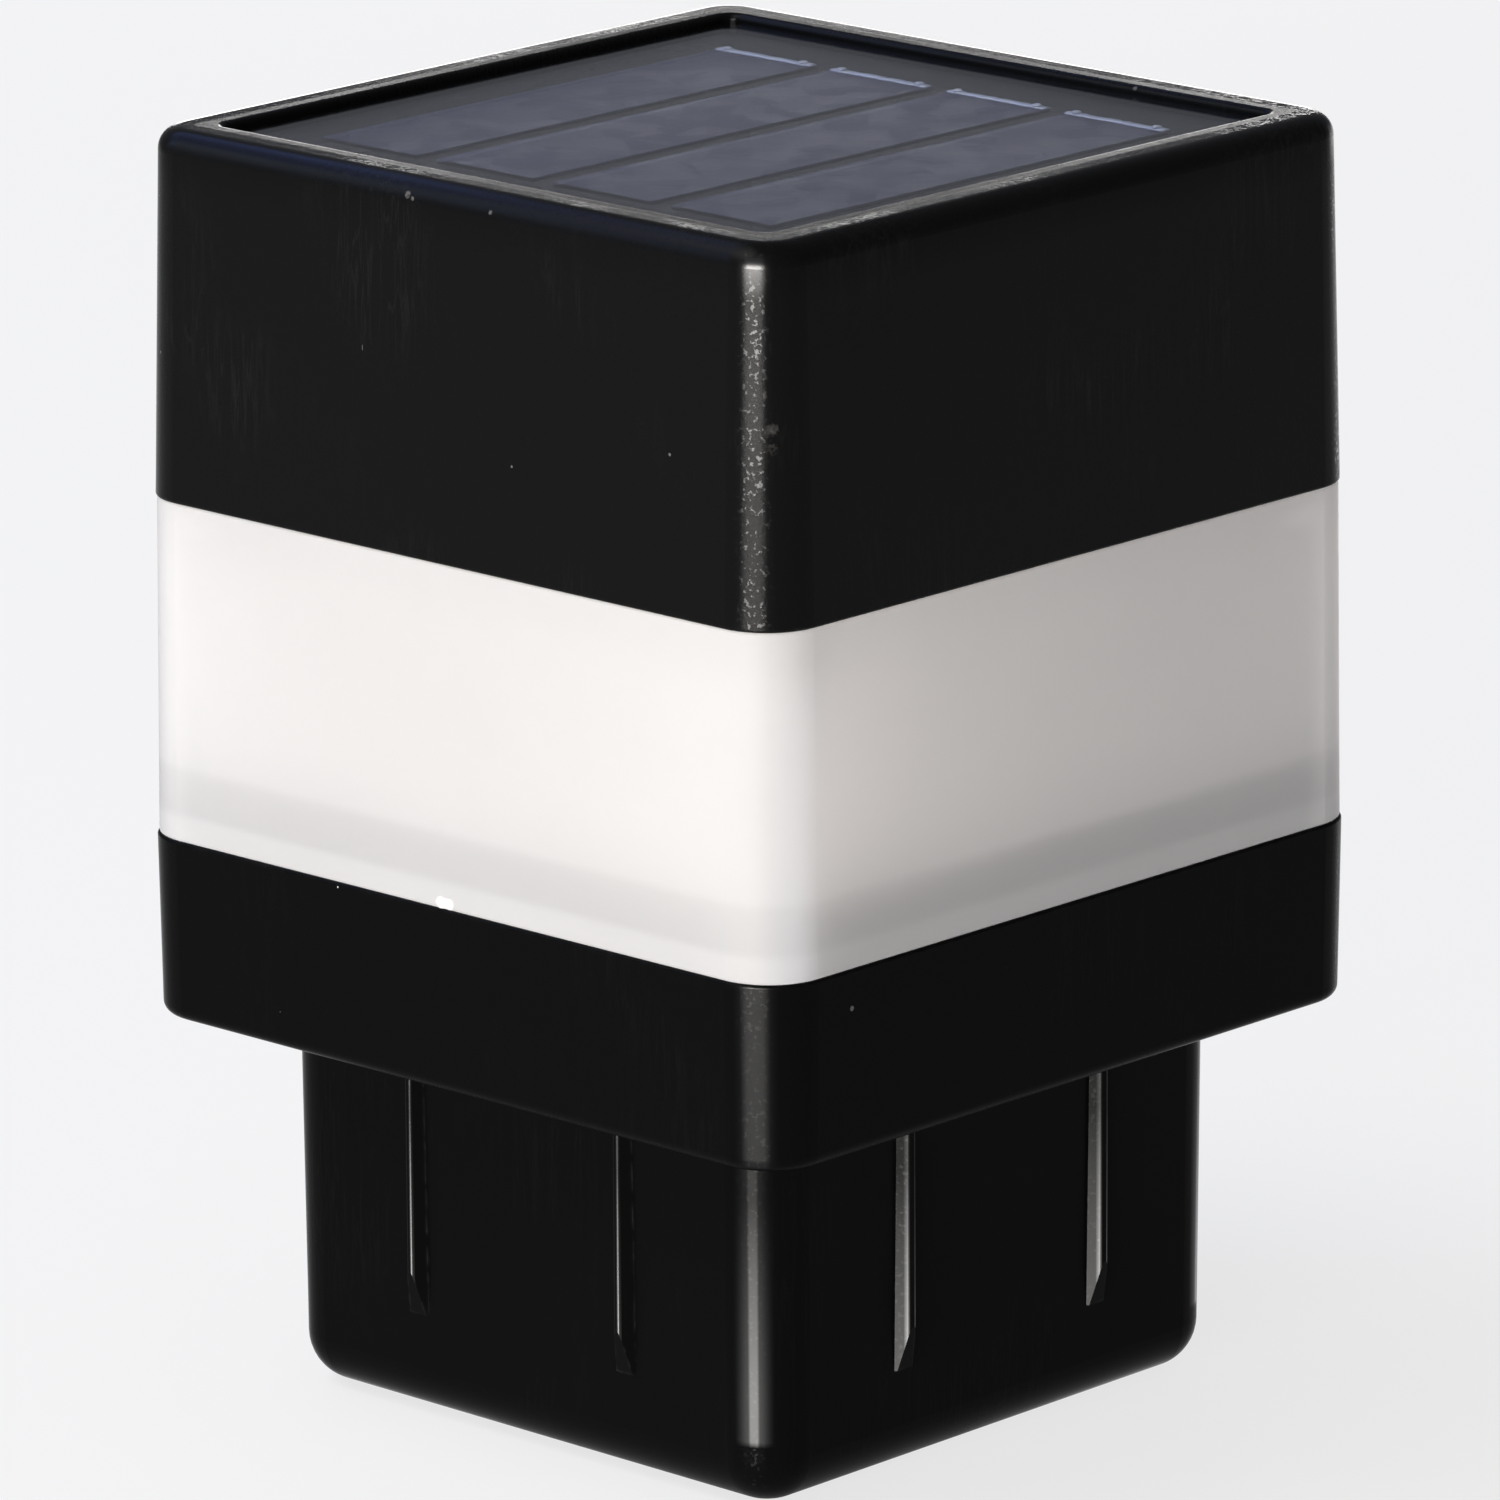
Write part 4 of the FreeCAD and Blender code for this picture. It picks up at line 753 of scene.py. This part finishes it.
# %% Solar cells
CRYSTALS_PER_METRE = 420.0
PAINTED_GLINTS_PER_METRE = 3000.0
PAINTED_GLINT_EDGE = (0.62, 0.74)
PAINTED_GLINT_SHOWN = 0.35
FINGER_SPACING = 0.9 * MM
FINGER_EDGE = (0.02 * MM, 0.05 * MM)
FINGER_SHOWN = 0.5
CRYSTAL_ROUGHNESS = (0.3, 0.5)
SILICON_DARK = (0.068, 0.070, 0.150, 1)
SILICON_PALE = (0.084, 0.086, 0.180, 1)
# Paler tone of the small spots: a painted glint.
SILICON_PAINTED_GLINT = (0.17, 0.175, 0.26, 1)
SILVER_FINGER = (0.13, 0.13, 0.18, 1)


def solar_silicon():
    """Blue crystals with painted glints and silver fingers."""
    material, tree, output = start_material("blue_silicon_cells")
    place = own_place(tree)
    crystals = put(tree, "TexVoronoi", Vector=place, Scale=CRYSTALS_PER_METRE)
    tone = put(tree, "SeparateColor", Color=crystals.outputs["Color"]).outputs
    sparkle = put(tree, "TexNoise", Vector=place, Scale=PAINTED_GLINTS_PER_METRE, Detail=2.0).outputs["Fac"]
    colour = mix_colour(tree, tone["Red"], SILICON_DARK, SILICON_PALE)
    # Fine noise paints paler spots over the crystals: a painted glint.
    glint = remap(tree, sparkle, *PAINTED_GLINT_EDGE, 0.0, PAINTED_GLINT_SHOWN)
    colour = mix_colour(tree, glint, colour, SILICON_PAINTED_GLINT)
    across = maths(tree, "PINGPONG", put(tree, "SeparateXYZ", Vector=place).outputs["Y"], FINGER_SPACING)
    colour = mix_colour(tree, remap(tree, across, *FINGER_EDGE, FINGER_SHOWN, 0.0), colour, SILVER_FINGER)
    roughness = remap(tree, tone["Green"], 0, 1, *CRYSTAL_ROUGHNESS)
    shader = put(tree, "BsdfPrincipled", Base_Color=colour, Roughness=roughness, Specular_IOR_Level=0.5)
    finish_surface(tree, output, shader)
    return material


dress(solar_silicon(), "solar_cells")

# %% [markdown]
# ## Clear resin
# The resin over the cells is glassy. Light passes straight through it except at a shallow view,
# where it mirrors the room: that is a transparent shader and a mirror mixed by Fresnel. Its
# surface is slightly wavy from the pour, and under a speck of dust the mirror turns grey and
# dull. From inside, the resin is left quite clear, because a second mirror there would throw the
# cells' light back and turn them black.

# %% Clear resin
WAVES_PER_METRE = 160.0
WAVE_HEIGHT = 0.04 * MM
RESIN_MIRROR = (0.60, 0.61, 0.66, 1)
RESIN_CLEAR = (0.93, 0.95, 0.98, 1)
RESIN_DUST = (0.5, 0.5, 0.5, 1)
RESIN_ROUGHNESS = (0.09, 0.8)
RESIN_IOR = 1.5


def clear_resin():
    """Clear layer with a soft mirror at a shallow view, dulled by specks of dust."""
    material, tree, output = start_material("clear_resin")
    wave = put(tree, "TexNoise", Vector=own_place(tree), Scale=WAVES_PER_METRE, Detail=2.0)
    bump = put(tree, "Bump", Height=wave.outputs["Fac"], Strength=0.4, Distance=WAVE_HEIGHT)
    dust = place_group(tree, dust_group, Amount=0.08, Spot_Size=1.4 * MM)["Dust"]
    mirror = put(tree, "BsdfPrincipled", Base_Color=mix_colour(tree, dust, RESIN_MIRROR, RESIN_DUST),
                 Roughness=remap(tree, dust, 0, 1, *RESIN_ROUGHNESS), Metallic=1.0,
                 Normal=bump.outputs["Normal"])
    clear = put(tree, "BsdfTransparent", Color=RESIN_CLEAR)
    surface = mix_shader(tree, put(tree, "Fresnel", IOR=RESIN_IOR).outputs["Fac"], clear, mirror)
    finish_surface(tree, output, leave_backs_clear(tree, surface))
    return material


dress(clear_resin(), "panel_resin")

# %% [markdown]
# ## Plain finishes of the rest
# The other pieces share one kind of finish with different values: a base tone with drift, a
# grain, a second tone in spots or along edges, and metal or not. The board under the cells is
# darker beyond the strips' ends, next to the pocket's walls: painted shade of the walls.

# %% Plain finishes
STRIP_EDGE = 20.5 * MM
TONE_PATCH = (0.95, 1.3)
WORN_SHOWN = 0.6
GRAIN_ROUGHNESS = (0.85, 1.15)


def simple_finish(name, tone, second, roughness, metallic=0.0, outer=None):
    """Finish with two tones, a grain and a little wear. outer is the tone beyond the cell strips, painted
    shade next to the pocket's walls.
    """
    material, tree, output = start_material(name)
    grain = place_group(tree, grain_group, Grain_Size=0.3 * MM)
    drift = place_group(tree, drift_group, Patch_Size=6 * MM, Strength=0.5)["Drift"]
    edges = place_group(tree, edge_group, Width=0.2 * MM, Breakup=0.4)["Edge"]
    worn = maths(tree, "MULTIPLY", edges, WORN_SHOWN)
    mask = maths(tree, "MAXIMUM", remap(tree, drift, *TONE_PATCH), worn)
    colour = mix_colour(tree, mask, (*tone, 1), (*second, 1))
    if outer:
        # Beyond the strips' ends the tone turns darker: painted shade next to the pocket's walls.
        beyond = from_middle(tree, "MAXIMUM", STRIP_EDGE, STRIP_EDGE + SHORT_STEP)
        colour = mix_colour(tree, beyond, colour, (*outer, 1))
    swing = remap(tree, grain["Sparkle"], 0, 1, *GRAIN_ROUGHNESS)
    rough = maths(tree, "MULTIPLY", swing, roughness)
    bump = put(tree, "Bump", Height=grain["Height"], Strength=0.4, Distance=0.02 * MM)
    shader = put(tree, "BsdfPrincipled", Base_Color=colour, Roughness=rough, Metallic=metallic,
                 Specular_IOR_Level=0.5, Normal=bump.outputs["Normal"])
    finish_surface(tree, output, shader)
    return material


# The board's darker outer tone is painted shade beside the pocket's walls.
dress(simple_finish("grey_board", (0.055, 0.054, 0.060), (0.065, 0.064, 0.070), 0.5,
                    outer=(0.016, 0.016, 0.020)), "panel_board")
dress(simple_finish("white_foam", (0.78, 0.78, 0.76), (0.70, 0.70, 0.68), 0.9), "panel_adhesive")
dress(simple_finish("seal_rubber", (0.02, 0.02, 0.02), (0.035, 0.035, 0.035), 0.7),
      "cap_seal", "base_seal", "door_seal")
dress(simple_finish("white_plastic", (0.80, 0.80, 0.78), (0.72, 0.71, 0.68), 0.4),
      "reflector_tray", "switch_slider")
dress(simple_finish("zinc_plate", (0.62, 0.63, 0.65), (0.45, 0.45, 0.44), 0.3, metallic=1.0),
      "tray_screws", "board_screws", "door_screw", "switch_screws")
dress(simple_finish("green_mask", (0.02, 0.16, 0.06), (0.03, 0.22, 0.09), 0.35), "led_board")
dress(simple_finish("lamp_plastic", (0.85, 0.83, 0.70), (0.9, 0.88, 0.78), 0.12), "leds")
dress(simple_finish("chip_moulding", (0.02, 0.02, 0.02), (0.035, 0.035, 0.035), 0.6), "control_chip")
dress(simple_finish("coil_lacquer", (0.08, 0.28, 0.15), (0.12, 0.35, 0.2), 0.3), "inductor")
dress(simple_finish("can_sleeve", (0.03, 0.05, 0.2), (0.04, 0.07, 0.26), 0.3), "capacitor")
dress(simple_finish("cell_steel", (0.64, 0.64, 0.65), (0.5, 0.5, 0.49), 0.28, metallic=1.0),
      "battery_cell", "switch_case")
dress(simple_finish("cell_sleeve", (0.05, 0.32, 0.11), (0.07, 0.38, 0.15), 0.3), "battery_sleeve")
dress(simple_finish("spring_steel", (0.66, 0.66, 0.64), (0.5, 0.5, 0.48), 0.25, metallic=1.0),
      "positive_contact", "negative_contact")
dress(simple_finish("brown_laminate", (0.22, 0.11, 0.05), (0.28, 0.15, 0.07), 0.5), "terminal_plate")
dress(simple_finish("silvered_brass", (0.72, 0.68, 0.5), (0.6, 0.52, 0.3), 0.3, metallic=1.0),
      "switch_pins")
dress(simple_finish("red_wire", (0.45, 0.02, 0.02), (0.5, 0.04, 0.03), 0.45),
      "panel_lead_red", "battery_lead_red", "switch_lead_red")
dress(simple_finish("black_wire", (0.02, 0.02, 0.02), (0.03, 0.03, 0.03), 0.45),
      "panel_lead_black", "battery_lead_black")

# %% [markdown]
# # Small pieces made as meshes
# Three things are too small or too uneven for the CAD model: the soldered ribbons, the flash that
# the mould left at the frosted band's foot, and the marks beside the switch. Each is built from
# vertices, rides on the body that carries it, and names the material slot that it is made of.
# The ribbons and the marks are bands of faces between rows of vertices, and the drops of solder
# and the lumps of flash are balls pushed out of shape.

# %% Mesh helpers
def make_piece(name, mesh, material, body):
    """Turns a bmesh into a named piece with a material, and lets it ride on a body."""
    data = bpy.data.meshes.new(name)
    mesh.normal_update()
    mesh.to_mesh(data)
    mesh.free()
    for face in data.polygons:
        face.use_smooth = True
    data.materials.append(material)
    piece = bpy.data.objects.new(name, data)
    bpy.context.scene.collection.objects.link(piece)
    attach(piece, body)
    print(name, "has", len(data.vertices), "vertices")
    return piece


def first_material(name):
    """Material of a piece of the frame."""
    return nodes[name].material_slots[0].material


def join_rings(mesh, before, after):
    """Faces between two closed rings of as many vertices."""
    for index in range(len(before)):
        follow = (index + 1) % len(before)
        mesh.faces.new((before[index], after[index], after[follow], before[follow]))


def add_ball(mesh, shape):
    """Ball whose vertices are moved by a function of their place on a ball of radius 1."""
    for vertex in bmesh.ops.create_icosphere(mesh, subdivisions=3, radius=1.0)["verts"]:
        vertex.co = shape(vertex.co.copy())


print("meshes before the small pieces:", len(bpy.data.meshes))

# %% [markdown]
# ## Soldered ribbons
# A tinned copper ribbon is soldered across the end of each strip. By hand the ribbon never lies
# quite straight, and a drop of solder stands at its ends. Each ribbon is a closed strip whose
# long edges wave a little, and each drop is a flattened ball with a wobble. The CAD ribbon is
# hidden, because this one stands for it.

# %% Soldered ribbons
STRIP_COUNT = 4
STRIP_GAP = 1.9 * MM
RIBBON_STEPS = 30
EDGE_WAVE = 0.16
TOP_WAVE = 0.5
SIDE_HEIGHT = 0.6
DROP_PLACES = (0.09, 0.9)
DROP_RADIUS = 0.34 * MM
DROP_HEIGHT = 0.9
DROP_LOBES = 3
DROP_WOBBLE = 0.12
DROP_TURN_PER_METRE = 900
random.seed(7)


def add_ribbon(mesh, left, right, low, high):
    """Closed strip along X with wavy edges, kept between two corners of a box."""
    rings = []
    for step in range(RIBBON_STEPS + 1):
        x = left + (right - left) * step / RIBBON_STEPS
        room = (high.y - low.y) * EDGE_WAVE
        near = low.y + room * random.random()
        far = high.y - room * random.random()
        top = high.z - (high.z - low.z) * TOP_WAVE * random.random()
        side = low.z + (top - low.z) * SIDE_HEIGHT
        rings.append([mesh.verts.new((x, y, z)) for y, z in (
            (near, low.z), (far, low.z), (far, side), ((near + far) / 2, top), (near, side))])
    for before, after in zip(rings, rings[1:]):
        join_rings(mesh, before, after)
    mesh.faces.new(rings[0])
    mesh.faces.new(list(reversed(rings[-1])))


def add_drop(mesh, middle, height):
    """Flattened ball of solder."""
    def shape(point):
        turn = DROP_LOBES * math.atan2(point.y, point.x) + middle.x * DROP_TURN_PER_METRE
        radius = DROP_RADIUS * (1 + DROP_WOBBLE * math.sin(turn))
        return middle + Vector((point.x * radius, point.y * radius, point.z * height))

    add_ball(mesh, shape)


cell_low, cell_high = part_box("solar_cells")
ribbon_low, ribbon_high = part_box("cell_ribbons")
strip_width = (cell_high.x - cell_low.x - (STRIP_COUNT - 1) * STRIP_GAP) / STRIP_COUNT
ribbon_middle = (ribbon_low.y + ribbon_high.y) / 2
drop_height = DROP_HEIGHT * (ribbon_high.z - ribbon_low.z)
ribbons = bmesh.new()
for index in range(STRIP_COUNT):
    left = cell_low.x + index * (strip_width + STRIP_GAP)
    add_ribbon(ribbons, left, left + strip_width, ribbon_low, ribbon_high)
    for share in DROP_PLACES:
        drop_place = Vector((left + share * strip_width, ribbon_middle, ribbon_high.z))
        add_drop(ribbons, drop_place, drop_height)
bmesh.ops.recalc_face_normals(ribbons, faces=ribbons.faces)
tinned = simple_finish("tinned_ribbon", (0.42, 0.45, 0.56), (0.55, 0.58, 0.68), 0.42, metallic=0.2)
dress(tinned, "cell_ribbons")
soldered = make_piece("soldered_ribbons", ribbons, tinned, "housing")
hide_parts("cell_ribbons")

# %% [markdown]
# ## Flash at the frosted band's foot
# Where the two halves of a mould meet, a little plastic squeezes out. Two small lumps of it stand
# on the front of the band, right above the collar. They are low, uneven swellings.

# %% Flash at the frosted band's foot
# Place across and up, half length and half height of each lump, in millimetres.
FLASH_LUMPS = [(0.0, 40.35, 0.85, 0.42), (-10.1, 39.62, 0.28, 0.22)]
FLASH_PROUD = 0.16 * MM
FLASH_DEPTH = 0.8
FLASH_WOBBLE = 0.18
WAVES_ALONG = 5
WAVES_SHIFT = 1.3
WAVES_UP = 4


def add_lump(mesh, x, front, z, half_length, half_height):
    """Uneven swelling on the front of the band."""
    def shape(point):
        waves = math.sin(WAVES_ALONG * point.x + WAVES_SHIFT) * math.cos(WAVES_UP * point.z)
        lump = 1 + FLASH_WOBBLE * waves
        return Vector((x * MM + point.x * half_length * MM * lump,
                       front + point.y * FLASH_PROUD * lump * FLASH_DEPTH,
                       z * MM + point.z * half_height * MM * lump))

    add_ball(mesh, shape)


band_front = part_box("diffuser_sleeve")[0].y
flash = bmesh.new()
for across, up, half_length, half_height in FLASH_LUMPS:
    add_lump(flash, across, band_front, up, half_length, half_height)
make_piece("foot_flash", flash, first_material("diffuser_sleeve"), "housing")

# %% [markdown]
# ## Marks beside the switch
# Such a switch sits in a small pocket in the plug's bottom with a raised stroke at its ON end and
# a raised ring at its OFF end. Both stand on the pocket's floor, clear of the knob's travel. Each
# mark is a wall between an outer and an inner loop, and the stroke is a ring squeezed nearly shut.

# %% Marks beside the switch
POCKET_FLOOR = 1.6 * MM
MARK_PROUD = 0.25 * MM
MARK_REACH = 4.3 * MM
MARK_WIDTH = 0.34 * MM
MARK_HALF = 0.85 * MM
RING_HOLE = MARK_HALF - MARK_WIDTH
SLIT_HALF_WIDTH = MARK_WIDTH / 8
LOOP_POINTS = 40

knob_low, knob_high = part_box("switch_slider")
mark_y = (knob_low.y + knob_high.y) / 2
marks = bmesh.new()


def add_loop(mesh, x, half_x, half_y, z):
    """Ring of vertices on an ellipse round a mark's middle."""
    turn = 2 * math.pi / LOOP_POINTS
    return [mesh.verts.new((x + half_x * math.cos(turn * k), mark_y + half_y * math.sin(turn * k), z))
            for k in range(LOOP_POINTS)]


def add_wall(mesh, x, outer, inner):
    """Raised band between an outer and an inner ellipse, each given by its two half widths."""
    low = POCKET_FLOOR - MARK_PROUD
    rings = [add_loop(mesh, x, *half, z) for half, z in (
        (outer, POCKET_FLOOR), (outer, low), (inner, low), (inner, POCKET_FLOOR))]
    for before, after in zip(rings, rings[1:] + rings[:1]):
        join_rings(mesh, before, after)


add_wall(marks, -MARK_REACH, (MARK_HALF, MARK_HALF), (RING_HOLE, RING_HOLE))
add_wall(marks, MARK_REACH, (MARK_WIDTH / 2, MARK_HALF), (SLIT_HALF_WIDTH, MARK_HALF - MARK_WIDTH / 2))
bmesh.ops.recalc_face_normals(marks, faces=marks.faces)
make_piece("switch_marks", marks, first_material("base_housing"), "housing")
